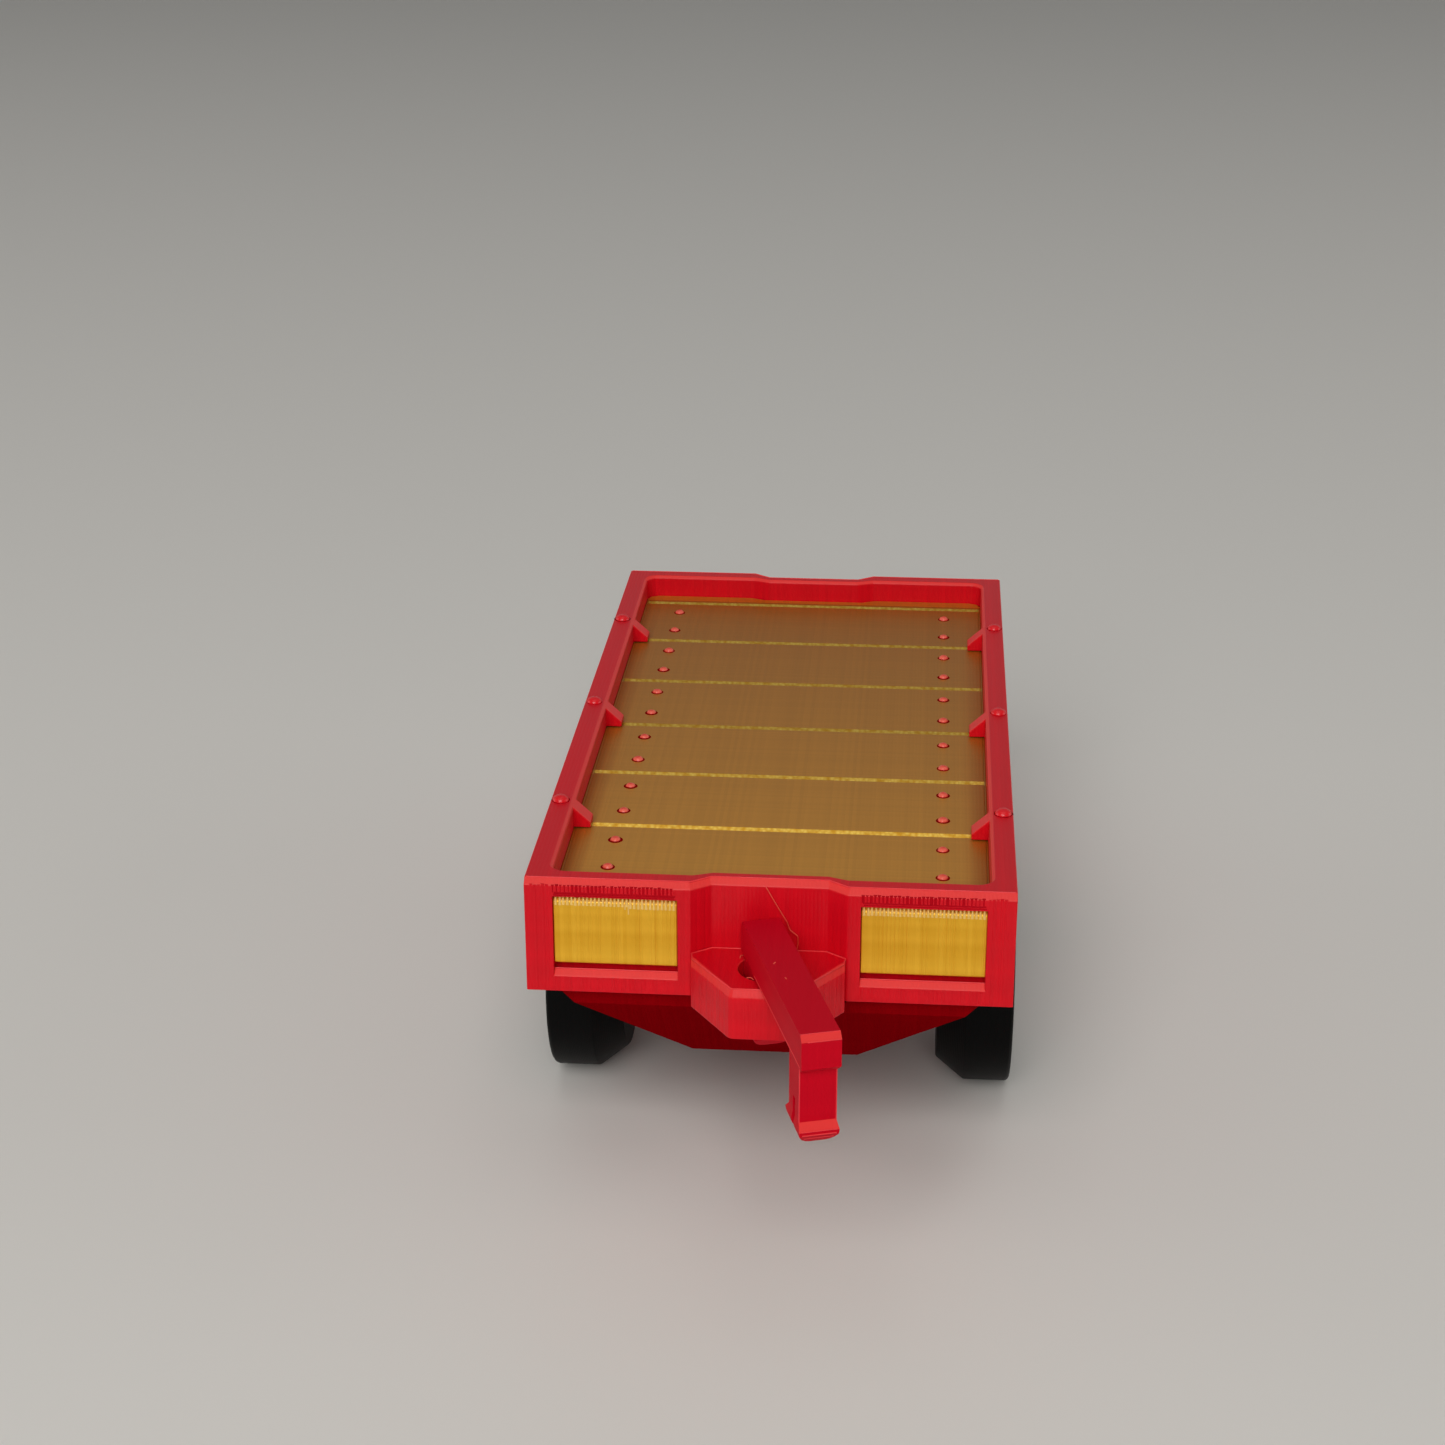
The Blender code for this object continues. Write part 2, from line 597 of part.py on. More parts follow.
def make_link(red):
    """The drawbar link: a bar with a split snap peg under each end, one of them in the front shelf.
    It is drawn straight ahead from the hitch axis and then swung."""
    bar_bottom = SEAT_GAP
    bar_top = bar_bottom + LINK_HEIGHT
    barb_top = -SHELF_THICKNESS
    lip_top = barb_top - PEG_BARB_HEIGHT
    lip_bottom = lip_top - PEG_LIP
    tip = lip_bottom - PEG_TIP
    front, rear = -LINK_PITCH - LINK_END, LINK_END
    side_view = [(front, bar_bottom + LINK_FOOT), (front, bar_top - LINK_CHAMFER),
                 (front + LINK_CHAMFER, bar_top), (rear - LINK_CHAMFER, bar_top),
                 (rear, bar_top - LINK_CHAMFER), (rear, bar_bottom + LINK_FOOT),
                 (rear - LINK_FOOT, bar_bottom)]
    for centre in (0, -LINK_PITCH):
        neck, barb, end = PEG_DEPTH / 2, PEG_DEPTH / 2 + PEG_BARB, PEG_TIP_DEPTH / 2
        half = [(neck, bar_bottom), (neck, barb_top), (barb, lip_top), (barb, lip_bottom), (end, tip)]
        side_view += [(centre + y, z) for y, z in half]
        side_view += [(centre - y, z) for y, z in reversed(half)]
    side_view.append((front + LINK_FOOT, bar_bottom))
    link = prism("drawbar_link", side_view, -LINK_WIDTH, LINK_WIDTH, "x")

    bar, peg = LINK_WIDTH / 2, PEG_WIDTH / 2
    flare = peg + PEG_FLARE
    angles = [math.pi / 2 * i / 4 for i in range(5)]
    rounded = [(flare - PEG_TIP_ROUND * (1 - math.cos(a)), tip + PEG_TIP_ROUND * (1 - math.sin(a)))
               for a in angles]
    half_front = [(bar, bar_top), (bar, bar_bottom + LINK_SHOULDER), (peg, bar_bottom), (peg, barb_top),
                  (flare, lip_top)] + rounded
    front_view = half_front + [(-x, z) for x, z in reversed(half_front)]
    combine(link, prism("link_front_view", front_view, front - 2, rear + 2, "y"), "INTERSECT")
    slot_top = tip + PEG_SLOT_DEPTH
    for number, centre in enumerate((0, -LINK_PITCH)):
        half_slot = PEG_SLOT_WIDTH / 2
        slot = [(centre - half_slot, tip - 1), (centre + half_slot, tip - 1),
                (centre + half_slot, slot_top), (centre - half_slot, slot_top)]
        combine(link, prism(f"peg_slot_{number}", slot, -LINK_WIDTH, LINK_WIDTH, "x"), "DIFFERENCE")
    baked(link)
    link.location = (0, hitch_y * MM, shelf_z * MM)
    link.rotation_euler = (0, 0, swing)
    return as_piece(link, "drawbar_link", red)


clear_scene()
parts = new_collection("toy_trailer")
cutters = new_collection("cutters")
red_plastic = new_material("red_printed_plastic", (0.58, 0.004, 0.013), 0.42)
gold_plastic = new_material("gold_silk_plastic", (0.50, 0.27, 0.03), 0.33, 0.35)
deck_plastic = new_material("bronze_silk_plastic", (0.24, 0.12, 0.025), 0.38, 0.35)
black_plastic = new_material("black_printed_plastic", (0.012, 0.012, 0.012), 0.6)

make_bed_frame(red_plastic)
make_hull(red_plastic)
make_deck(deck_plastic)
make_rivets(red_plastic)
make_studs(red_plastic)
make_panels(gold_plastic)
make_shelves(red_plastic)
make_wheels(black_plastic)
make_axles(black_plastic)
make_link(red_plastic)

# Everything above is drawn from the middle of the bed; this empty sets it over the origin
bed_middle = bpy.data.objects.new("bed_middle", None)
parts.objects.link(bed_middle)
bed_middle.location = (0, bed_y * MM, 0)
for piece in list(parts.objects) + list(cutters.objects):
    if piece is not bed_middle:
        piece.parent = bed_middle
bpy.context.view_layer.update()
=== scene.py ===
# Looks of the toy flatbed trailer: printed red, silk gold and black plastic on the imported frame
import bpy
import bmesh
import math
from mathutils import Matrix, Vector


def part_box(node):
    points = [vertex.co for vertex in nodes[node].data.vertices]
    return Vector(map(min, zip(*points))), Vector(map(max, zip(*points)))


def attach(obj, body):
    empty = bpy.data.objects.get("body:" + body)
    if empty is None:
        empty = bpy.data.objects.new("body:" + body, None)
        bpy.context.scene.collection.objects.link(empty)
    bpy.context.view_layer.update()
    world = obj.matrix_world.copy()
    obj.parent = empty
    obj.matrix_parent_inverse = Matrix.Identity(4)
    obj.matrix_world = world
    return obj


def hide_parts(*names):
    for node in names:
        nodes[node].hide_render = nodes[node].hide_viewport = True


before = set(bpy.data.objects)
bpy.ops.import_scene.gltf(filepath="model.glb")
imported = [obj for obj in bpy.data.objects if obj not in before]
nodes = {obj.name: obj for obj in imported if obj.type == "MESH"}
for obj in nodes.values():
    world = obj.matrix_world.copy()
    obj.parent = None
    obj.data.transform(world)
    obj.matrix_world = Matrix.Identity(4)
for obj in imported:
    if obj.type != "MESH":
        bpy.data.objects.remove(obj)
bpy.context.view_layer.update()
mm = 0.001
bedLow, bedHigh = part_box("bed_frame")
bedMiddleY = (bedLow[1] + bedHigh[1]) / 2
rimZ = bedHigh[2]
print("frame loaded:", len(nodes), "nodes")


def linearColour(hexText):
    # sRGB hex to linear red, green, blue and alpha
    parts = [int(hexText[i:i + 2], 16) / 255 for i in (1, 3, 5)]
    return [c / 12.92 if c <= 0.04045 else ((c + 0.055) / 1.055) ** 2.4 for c in parts] + [1.0]


def addNode(tree, kind, settings=None, inputs=None):
    # one node with its settings; an input is a value or the socket that feeds it
    node = tree.nodes.new(kind)
    for name, value in (settings or {}).items():
        setattr(node, name, value)
    for name, value in (inputs or {}).items():
        if isinstance(value, bpy.types.NodeSocket):
            tree.links.new(value, node.inputs[name])
        else:
            node.inputs[name].default_value = value
    return node


def newMaterial(name):
    material = bpy.data.materials.new(name)
    material.use_nodes = True
    tree = material.node_tree
    tree.nodes.clear()
    return material, tree, addNode(tree, "ShaderNodeOutputMaterial")


# What all the filaments share. Scales count a noise's blotches to a metre: 1000 is one a millimetre
print3d = {
    "lineWidth": 0.42 * mm,    # width of one extruded line
    "layer": 0.20 * mm,        # height of one printed layer
    "steepFrom": 0.9,          # how sideways a face is before its lines turn
    "bandHeight": 1.9 * mm,    # slow bands across the lines, where the feed rate drifted
    "wanderScale": 160.0,      # how soon a line wanders off straight
    "grainScale": 2600.0,      # finer than a line, so that its gloss breaks up
    "ridgeHeight": 0.04 * mm,  # how far a line stands out of the gap beside it
    "shinier": 0.05,           # how much the roughness falls and rises with the mottle
    "duller": 0.06,
}
pitch = print3d["lineWidth"]


def printLines(tree, linePitch, wander):
    # Counts the lines across a face: along X on faces that look forward, up or back, and along Z
    # on faces that look left or right. Gives each line's ridge and its own shade.
    place = addNode(tree, "ShaderNodeTexCoord")
    spot = addNode(tree, "ShaderNodeSeparateXYZ", inputs={0: place.outputs["Object"]})
    facing = addNode(tree, "ShaderNodeSeparateXYZ", inputs={0: place.outputs["Normal"]})
    sideways = addNode(tree, "ShaderNodeMath", {"operation": "ABSOLUTE"}, {0: facing.outputs["X"]})
    turned = addNode(tree, "ShaderNodeMath", {"operation": "GREATER_THAN"}, {
        0: sideways.outputs[0], 1: print3d["steepFrom"]})
    across = addNode(tree, "ShaderNodeMix", inputs={
        0: turned.outputs[0], 2: spot.outputs["X"], 3: spot.outputs["Z"]})
    bend = addNode(tree, "ShaderNodeTexNoise", inputs={
        "Vector": place.outputs["Object"], "Scale": print3d["wanderScale"], "Detail": 2.0})
    bent = addNode(tree, "ShaderNodeMath", {"operation": "MULTIPLY_ADD"}, {
        0: bend.outputs["Fac"], 1: wander, 2: across.outputs[0]})
    count = addNode(tree, "ShaderNodeMath", {"operation": "DIVIDE"}, {
        0: bent.outputs[0], 1: linePitch})
    number = addNode(tree, "ShaderNodeMath", {"operation": "FLOOR"}, {0: count.outputs[0]})
    within = addNode(tree, "ShaderNodeMath", {"operation": "FRACT"}, {0: count.outputs[0]})
    arch = addNode(tree, "ShaderNodeMath", {"operation": "MULTIPLY"}, {
        0: within.outputs[0], 1: math.pi})
    ridge = addNode(tree, "ShaderNodeMath", {"operation": "SINE"}, {0: arch.outputs[0]})
    shade = addNode(tree, "ShaderNodeTexWhiteNoise", {"noise_dimensions": "1D"}, {
        "W": number.outputs[0]})
    return {"place": place.outputs["Object"], "spot": spot, "facing": facing,
            "ridge": ridge.outputs[0], "shade": shade.outputs["Value"]}


def printedPlastic(name, look):
    # One filament as it comes off the nozzle: line by line shade, mottle, bands and fine ridges,
    # with a painted highlight on sloped faces
    material, tree, output = newMaterial(name)
    laid = printLines(tree, look["pitch"], look["wander"])
    mottle = addNode(tree, "ShaderNodeTexNoise", inputs={
        "Vector": laid["place"], "Scale": look["mottleScale"], "Detail": 3.0})
    bandPlace = addNode(tree, "ShaderNodeMath", {"operation": "DIVIDE"}, {
        0: laid["spot"].outputs["Z"], 1: print3d["bandHeight"]})
    bands = addNode(tree, "ShaderNodeTexNoise", {"noise_dimensions": "1D"}, {
        "W": bandPlace.outputs[0], "Scale": 1.0, "Detail": 1.0})
    # the three shares swing about the middle of dark and light
    middle = 0.5 - (look["lineShade"] + look["mottle"] + look["bands"]) / 2
    lined = addNode(tree, "ShaderNodeMath", {"operation": "MULTIPLY_ADD"}, {
        0: laid["shade"], 1: look["lineShade"], 2: middle})
    mottled = addNode(tree, "ShaderNodeMath", {"operation": "MULTIPLY_ADD"}, {
        0: mottle.outputs["Fac"], 1: look["mottle"], 2: lined.outputs[0]})
    tone = addNode(tree, "ShaderNodeMath", {"operation": "MULTIPLY_ADD", "use_clamp": True}, {
        0: bands.outputs["Fac"], 1: look["bands"], 2: mottled.outputs[0]})
    colour = addNode(tree, "ShaderNodeMix", {"data_type": "RGBA"}, {
        0: tone.outputs[0], 6: linearColour(look["dark"]), 7: linearColour(look["light"])})
    # sloped faces get a painted highlight, a paler colour set by their tilt: strongest at 45 degrees
    level = addNode(tree, "ShaderNodeMath", {"operation": "MAXIMUM"}, {
        0: laid["facing"].outputs["Z"], 1: 0.0})
    squared = addNode(tree, "ShaderNodeMath", {"operation": "MULTIPLY"}, {
        0: level.outputs[0], 1: level.outputs[0]})
    rest = addNode(tree, "ShaderNodeMath", {"operation": "SUBTRACT"}, {
        0: 1.0, 1: squared.outputs[0]})
    slope = addNode(tree, "ShaderNodeMath", {"operation": "MULTIPLY"}, {
        0: squared.outputs[0], 1: rest.outputs[0]})
    slopeHighlight = addNode(tree, "ShaderNodeMath", {"operation": "MULTIPLY", "use_clamp": True}, {
        0: slope.outputs[0], 1: 4 * look["slopeHighlight"]})
    shown = addNode(tree, "ShaderNodeMix", {"data_type": "RGBA"}, {
        0: slopeHighlight.outputs[0], 6: colour.outputs[2], 7: linearColour(look["slopeHighlightColour"])})
    rough = addNode(tree, "ShaderNodeMapRange", inputs={
        "Value": mottle.outputs["Fac"], "To Min": look["rough"] - print3d["shinier"],
        "To Max": look["rough"] + print3d["duller"]})
    grain = addNode(tree, "ShaderNodeTexNoise", inputs={
        "Vector": laid["place"], "Scale": print3d["grainScale"], "Detail": 2.0})
    height = addNode(tree, "ShaderNodeMath", {"operation": "MULTIPLY_ADD"}, {
        0: grain.outputs["Fac"], 1: look["grain"], 2: laid["ridge"]})
    bump = addNode(tree, "ShaderNodeBump", inputs={
        "Strength": look["bump"], "Distance": print3d["ridgeHeight"],
        "Height": height.outputs[0]})
    shader = addNode(tree, "ShaderNodeBsdfPrincipled", inputs={
        "Base Color": shown.outputs[2], "Roughness": rough.outputs["Result"],
        "Metallic": look["metallic"], "IOR": look["ior"], "Specular IOR Level": look["specular"],
        "Normal": bump.outputs["Normal"]})
    tree.links.new(shader.outputs[0], output.inputs["Surface"])
    return material


# Red PLA, extruded: a deep, clean red with satin line tops that catch the room behind
redLook = {
    # sloped faces are painted a paler coral here: a painted highlight
    "light": "#EE0A20", "dark": "#C20718", "slopeHighlight": 0.7, "slopeHighlightColour": "#FA4A44",
    "pitch": pitch, "wander": 0.12 * mm, "lineShade": 0.18, "mottle": 0.4, "mottleScale": 70.0,
    "bands": 0.2, "grain": 0.3, "bump": 0.35, "rough": 0.36, "metallic": 0.0, "ior": 1.46,
    "specular": 0.22}
redPla = printedPlastic("redPlaExtruded", redLook)
# The same red where the nozzle ironed it: dull and even, with hardly any gloss
redDullPla = printedPlastic("redPlaIroned", {
    **redLook, "light": "#D60520", "dark": "#BE031C", "rough": 0.5, "specular": 0.06,
    "bump": 0.15, "lineShade": 0.1})
# The hull's red, darkened as painted shade for its downward faces, with no gloss; it also paints the
# dark shadow rings round the pin heads
redShadePla = printedPlastic("redPlaPaintedShade", {
    **redLook, "light": "#94020C", "dark": "#740106", "rough": 0.5, "specular": 0.0, "slopeHighlight": 0.0})
# Over the windows the lines take a darker red: painted shade under the top edge
redOverWindowShadePla = printedPlastic("redPlaOverWindowPaintedShade", {
    **redLook, "light": "#C8091C", "dark": "#A80614", "rough": 0.5, "specular": 0.04,
    "bump": 0.15, "lineShade": 0.1, "slopeHighlight": 0.0})
# Red PLA in coral: thin lines of it paint the highlight along edges
coralHighlightPla = printedPlastic("redPlaPaintedEdgeHighlight", {
    **redLook, "light": "#F8404A", "dark": "#E02834", "rough": 0.34, "specular": 0.35, "bump": 0.0})
# Red PLA dots: a paler coral that paints the domes' highlight, rounder and shinier than the lines;
# the stray hairs take it too
paleHighlightPla = printedPlastic("redPlaDotsPaintedHighlight", {
    **redLook, "light": "#F8553E", "dark": "#D4301E", "slopeHighlightColour": "#FF7A66", "rough": 0.3,
    "specular": 0.5, "mottleScale": 900.0})
# Red PLA studs: each ends in one hot drop, so they are smooth and shiny
studPla = printedPlastic("redPlaStuds", {
    **redLook, "light": "#F01020", "dark": "#D80A1C", "slopeHighlight": 0.15, "rough": 0.26,
    "specular": 0.5, "bump": 0.0})
# Gold silk PLA: a pearly filler gives it a metal sheen along each line
goldLook = {
    "light": "#FAC236", "dark": "#DE9E10", "slopeHighlight": 0.0, "slopeHighlightColour": "#FAC236",
    "pitch": pitch, "wander": 0.04 * mm, "lineShade": 0.3, "mottle": 0.2, "mottleScale": 260.0,
    "bands": 0.8, "grain": 0.3, "bump": 0.25, "rough": 0.38, "metallic": 0.45, "ior": 1.46,
    "specular": 0.4}
goldSilkPla = printedPlastic("goldSilkPlaExtruded", goldLook)
# The same silk in pale straw: painted highlight on the panels' top edge, its comb and drips
silkHighlightPla = printedPlastic("goldSilkPlaPaintedHighlight", {
    **goldLook, "light": "#FFDC8C", "dark": "#E8B850", "bands": 0.2, "metallic": 0.15,
    "specular": 0.25, "bump": 0.0})
# Black PLA, extruded: nearly matte, its layers run round the tread
blackPla = printedPlastic("blackPlaExtruded", {
    "light": "#080808", "dark": "#040404", "slopeHighlight": 0.0, "slopeHighlightColour": "#080808",
    "pitch": print3d["layer"], "wander": 0.02 * mm, "lineShade": 0.4, "mottle": 0.4,
    "mottleScale": 120.0, "bands": 0.0, "grain": 0.3, "bump": 0.3, "rough": 0.45,
    "metallic": 0.0, "ior": 1.46, "specular": 0.08})

# Deck: silk filament ironed flat. Its satin brown, darker towards the rear, is a painted reflection
# of a dark room, and its grooves get a painted bright gold sheen
deckLook = {
    # front and rear: the painted reflection, brighter at the front
    "front": "#DA9838", "rear": "#AC6C20",
    "wallShadeAndBounce": "#B06A1A", "wallShadow": 3.0 * mm,    # painted shade and red bounce beside the walls, and its reach
    "behindLastGroove": "#D08020",
    "lastGroove": 46.4 * mm,    # bed's middle to the far side of the last groove
    "wander": 0.05 * mm, "lineShade": 0.07, "crossShade": 0.05,
    "plankPitch": 15.1 * mm, "grooveHalf": 0.62 * mm, "tiltedBelow": 0.93,
    "grooveSheenLow": "#DCA024", "grooveSheenHigh": "#FFD862",
    "rearGrooveSheen": 0.52,         # painted sheen of the rear grooves, as a share of the front one's
    "fadeFrom": 2.4,            # planks before the bed's middle where the grooves start to dim
    "sparkScale": 2100.0, "sparkFrom": 0.05, "sparkTo": 0.85, "sparkHeight": 2.0,
    "bump": 0.2, "rough": 0.42, "metallic": 0.45, "specular": 0.3,
}


def silkDeck(name, look):
    material, tree, output = newMaterial(name)
    laid = printLines(tree, pitch, look["wander"])
    low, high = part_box("deck_board")
    # planks: front to rear as a painted reflection, beside the walls as painted shade and red
    # bounce, and the strip behind the last groove
    along = addNode(tree, "ShaderNodeMapRange", inputs={
        "Value": laid["spot"].outputs["Y"], "From Min": low[1], "From Max": high[1]})
    board = addNode(tree, "ShaderNodeMix", {"data_type": "RGBA"}, {
        0: along.outputs["Result"], 6: linearColour(look["front"]), 7: linearColour(look["rear"])})
    offMiddle = addNode(tree, "ShaderNodeMath", {"operation": "ABSOLUTE"}, {
        0: laid["spot"].outputs["X"]})
    nearWall = addNode(tree, "ShaderNodeMapRange", {"interpolation_type": "SMOOTHSTEP"}, {
        "Value": offMiddle.outputs[0], "From Min": high[0] - look["wallShadow"],
        "From Max": high[0]})
    sided = addNode(tree, "ShaderNodeMix", {"data_type": "RGBA"}, {
        0: nearWall.outputs["Result"], 6: board.outputs[2], 7: linearColour(look["wallShadeAndBounce"])})
    isStrip = addNode(tree, "ShaderNodeMath", {"operation": "GREATER_THAN"}, {
        0: laid["spot"].outputs["Y"], 1: bedMiddleY + look["lastGroove"]})
    planks = addNode(tree, "ShaderNodeMix", {"data_type": "RGBA"}, {
        0: isStrip.outputs[0], 6: sided.outputs[2], 7: linearColour(look["behindLastGroove"])})
    # each line along the bed and each line across it has its own shade
    crossed = addNode(tree, "ShaderNodeMath", {"operation": "DIVIDE"}, {
        0: laid["spot"].outputs["Y"], 1: pitch})
    crossNumber = addNode(tree, "ShaderNodeMath", {"operation": "FLOOR"}, {0: crossed.outputs[0]})
    crossLine = addNode(tree, "ShaderNodeTexWhiteNoise", {"noise_dimensions": "1D"}, {
        "W": crossNumber.outputs[0]})
    dim = addNode(tree, "ShaderNodeMath", {"operation": "MULTIPLY_ADD"}, {
        0: laid["shade"], 1: look["lineShade"],
        2: 1 - (look["lineShade"] + look["crossShade"]) / 2})
    dimmed = addNode(tree, "ShaderNodeMath", {"operation": "MULTIPLY_ADD"}, {
        0: crossLine.outputs["Value"], 1: look["crossShade"], 2: dim.outputs[0]})
    lined = addNode(tree, "ShaderNodeVectorMath", {"operation": "SCALE"}, {
        0: planks.outputs[2], "Scale": dimmed.outputs[0]})
    # grooves: a painted bright gold sheen, broken by grains of filler, dimmer towards the rear
    spark = addNode(tree, "ShaderNodeTexVoronoi", inputs={
        "Vector": laid["place"], "Scale": look["sparkScale"]})
    sparkle = addNode(tree, "ShaderNodeMapRange", inputs={
        "Value": spark.outputs["Distance"], "From Min": look["sparkFrom"],
        "From Max": look["sparkTo"]})
    gold = addNode(tree, "ShaderNodeMix", {"data_type": "RGBA"}, {
        0: sparkle.outputs["Result"], 6: linearColour(look["grooveSheenHigh"]),
        7: linearColour(look["grooveSheenLow"])})
    fade = addNode(tree, "ShaderNodeMapRange", {"interpolation_type": "SMOOTHSTEP"}, {
        "Value": laid["spot"].outputs["Y"],
        "From Min": bedMiddleY - look["fadeFrom"] * look["plankPitch"],
        "From Max": bedMiddleY, "To Min": 1.0, "To Max": look["rearGrooveSheen"]})
    groove = addNode(tree, "ShaderNodeVectorMath", {"operation": "SCALE"}, {
        0: gold.outputs[2], "Scale": fade.outputs["Result"]})
    # a groove is where the board tilts within reach of a plank's end; these tilted faces get the
    # painted sheen
    offBed = addNode(tree, "ShaderNodeMath", {"operation": "SUBTRACT"}, {
        0: laid["spot"].outputs["Y"], 1: bedMiddleY})
    offGroove = addNode(tree, "ShaderNodeMath", {"operation": "PINGPONG"}, {
        0: offBed.outputs[0], 1: look["plankPitch"] / 2})
    nearGroove = addNode(tree, "ShaderNodeMath", {"operation": "LESS_THAN"}, {
        0: offGroove.outputs[0], 1: look["grooveHalf"]})
    tilted = addNode(tree, "ShaderNodeMath", {"operation": "LESS_THAN"}, {
        0: laid["facing"].outputs["Z"], 1: look["tiltedBelow"]})
    inGroove = addNode(tree, "ShaderNodeMath", {"operation": "MULTIPLY"}, {
        0: tilted.outputs[0], 1: nearGroove.outputs[0]})
    colour = addNode(tree, "ShaderNodeMix", {"data_type": "RGBA"}, {
        0: inGroove.outputs[0], 6: lined.outputs[0], 7: groove.outputs[0]})
    rawness = addNode(tree, "ShaderNodeMath", {"operation": "MULTIPLY"}, {
        0: spark.outputs["Distance"], 1: inGroove.outputs[0]})
    height = addNode(tree, "ShaderNodeMath", {"operation": "MULTIPLY_ADD"}, {
        0: rawness.outputs[0], 1: look["sparkHeight"], 2: laid["ridge"]})
    bump = addNode(tree, "ShaderNodeBump", inputs={
        "Strength": look["bump"], "Distance": print3d["ridgeHeight"],
        "Height": height.outputs[0]})
    shader = addNode(tree, "ShaderNodeBsdfPrincipled", inputs={
        "Base Color": colour.outputs[2], "Roughness": look["rough"],
        "Metallic": look["metallic"], "Specular IOR Level": look["specular"],
        "Normal": bump.outputs["Normal"]})
    tree.links.new(shader.outputs[0], output.inputs["Surface"])
    return material


deckSilk = silkDeck("goldSilkDeckPaintedSheen", deckLook)
print("materials made")


# CAD pieces: their plastic, and how far their edges are softened, in millimetres
cadLooks = {
    "bed_frame": (redPla, 0.18), "chassis_hull": (redShadePla, 0.22), "hitch_shelf": (redPla, 0.1),
    "drawbar_link": (redDullPla, 0.16), "deck_board": (deckSilk, 0.05),
    "deck_rivet": (redShadePla, 0), "rim_stud": (redPla, 0),    # under the heads grown below
    "front_panel": (goldSilkPla, 0.1), "rear_panel": (goldSilkPla, 0.1),
    "wheel": (blackPla, 0.18), "axle": (blackPla, 0.12),
}
roundPieces = ("wheel", "axle")
edgeFinish = {"weldWithin": 0.002 * mm, "steps": 2, "flatWithin": 0.5, "roundAbove": 22,
              "areaWeight": 80}


def softenEdges(obj, width, isRound):
    weld = obj.modifiers.new("weld", "WELD")
    weld.merge_threshold = edgeFinish["weldWithin"]
    flat = obj.modifiers.new("mergeFlat", "DECIMATE")
    flat.decimate_type = "DISSOLVE"
    flat.angle_limit = math.radians(edgeFinish["flatWithin"])
    bevel = obj.modifiers.new("softEdge", "BEVEL")
    bevel.width = width * mm
    bevel.segments = edgeFinish["steps"]
    bevel.limit_method = "ANGLE"
    bevel.angle_limit = math.radians(edgeFinish["roundAbove"])
    if not isRound:
        obj.data.shade_flat()
        return
    obj.data.shade_smooth()
    even = obj.modifiers.new("evenShading", "WEIGHTED_NORMAL")
    even.mode = "FACE_AREA"
    even.weight = edgeFinish["areaWeight"]


for name, node in nodes.items():
    plastic, width = next(look for start, look in cadLooks.items() if name.startswith(start))
    node.data.materials.clear()
    node.data.materials.append(plastic)
    if width:
        softenEdges(node, width, name.startswith(roundPieces))
print("CAD pieces dressed")


# Geometry Nodes helpers
def newNodeTree(name, inputs):
    tree = bpy.data.node_groups.new(name, "GeometryNodeTree")
    tree.interface.new_socket("Geometry", in_out="INPUT", socket_type="NodeSocketGeometry")
    for label, kind in inputs:
        tree.interface.new_socket(label, in_out="INPUT", socket_type="NodeSocket" + kind)
    tree.interface.new_socket("Geometry", in_out="OUTPUT", socket_type="NodeSocketGeometry")
    return tree, tree.nodes.new("NodeGroupInput"), tree.nodes.new("NodeGroupOutput")


def grownMesh(name, baseMesh, tree, values):
    # runs a tree on a base mesh and keeps the result as a plain mesh at the origin
    obj = bpy.data.objects.new(name, baseMesh)
    bpy.context.scene.collection.objects.link(obj)
    grow = obj.modifiers.new("grow", "NODES")
    grow.node_group = tree
    for item in tree.interface.items_tree:
        if item.in_out == "INPUT" and item.name in values:
            grow[item.identifier] = values[item.name]
    bpy.context.view_layer.update()
    grown = obj.evaluated_get(bpy.context.evaluated_depsgraph_get())
    mesh = bpy.data.meshes.new_from_object(grown)
    obj.modifiers.clear()
    obj.data = mesh
    mesh.name = name
    return obj


def pathMesh(name, points):
    mesh = bpy.data.meshes.new(name)
    edges = [(i, i + 1) for i in range(len(points) - 1)]
    mesh.from_pydata([tuple(p) for p in points], edges, [])
    return mesh


def joinMeshes(pieceName, group):
    shape = bmesh.new()
    for obj in group:
        shape.from_mesh(obj.data)
    mesh = bpy.data.meshes.new(pieceName)
    shape.to_mesh(mesh)
    shape.free()
    mesh.materials.append(group[0].data.materials[0])
    for obj in group:
        bpy.data.objects.remove(obj)
    joined = bpy.data.objects.new(pieceName, mesh)
    bpy.context.scene.collection.objects.link(joined)
    return joined


# Printed pin heads: a dome on every point, each a little uneven
pinHead = {"segments": 24, "rings": 14, "smallest": 0.9, "largest": 1.0, "dentScale": 1400.0}


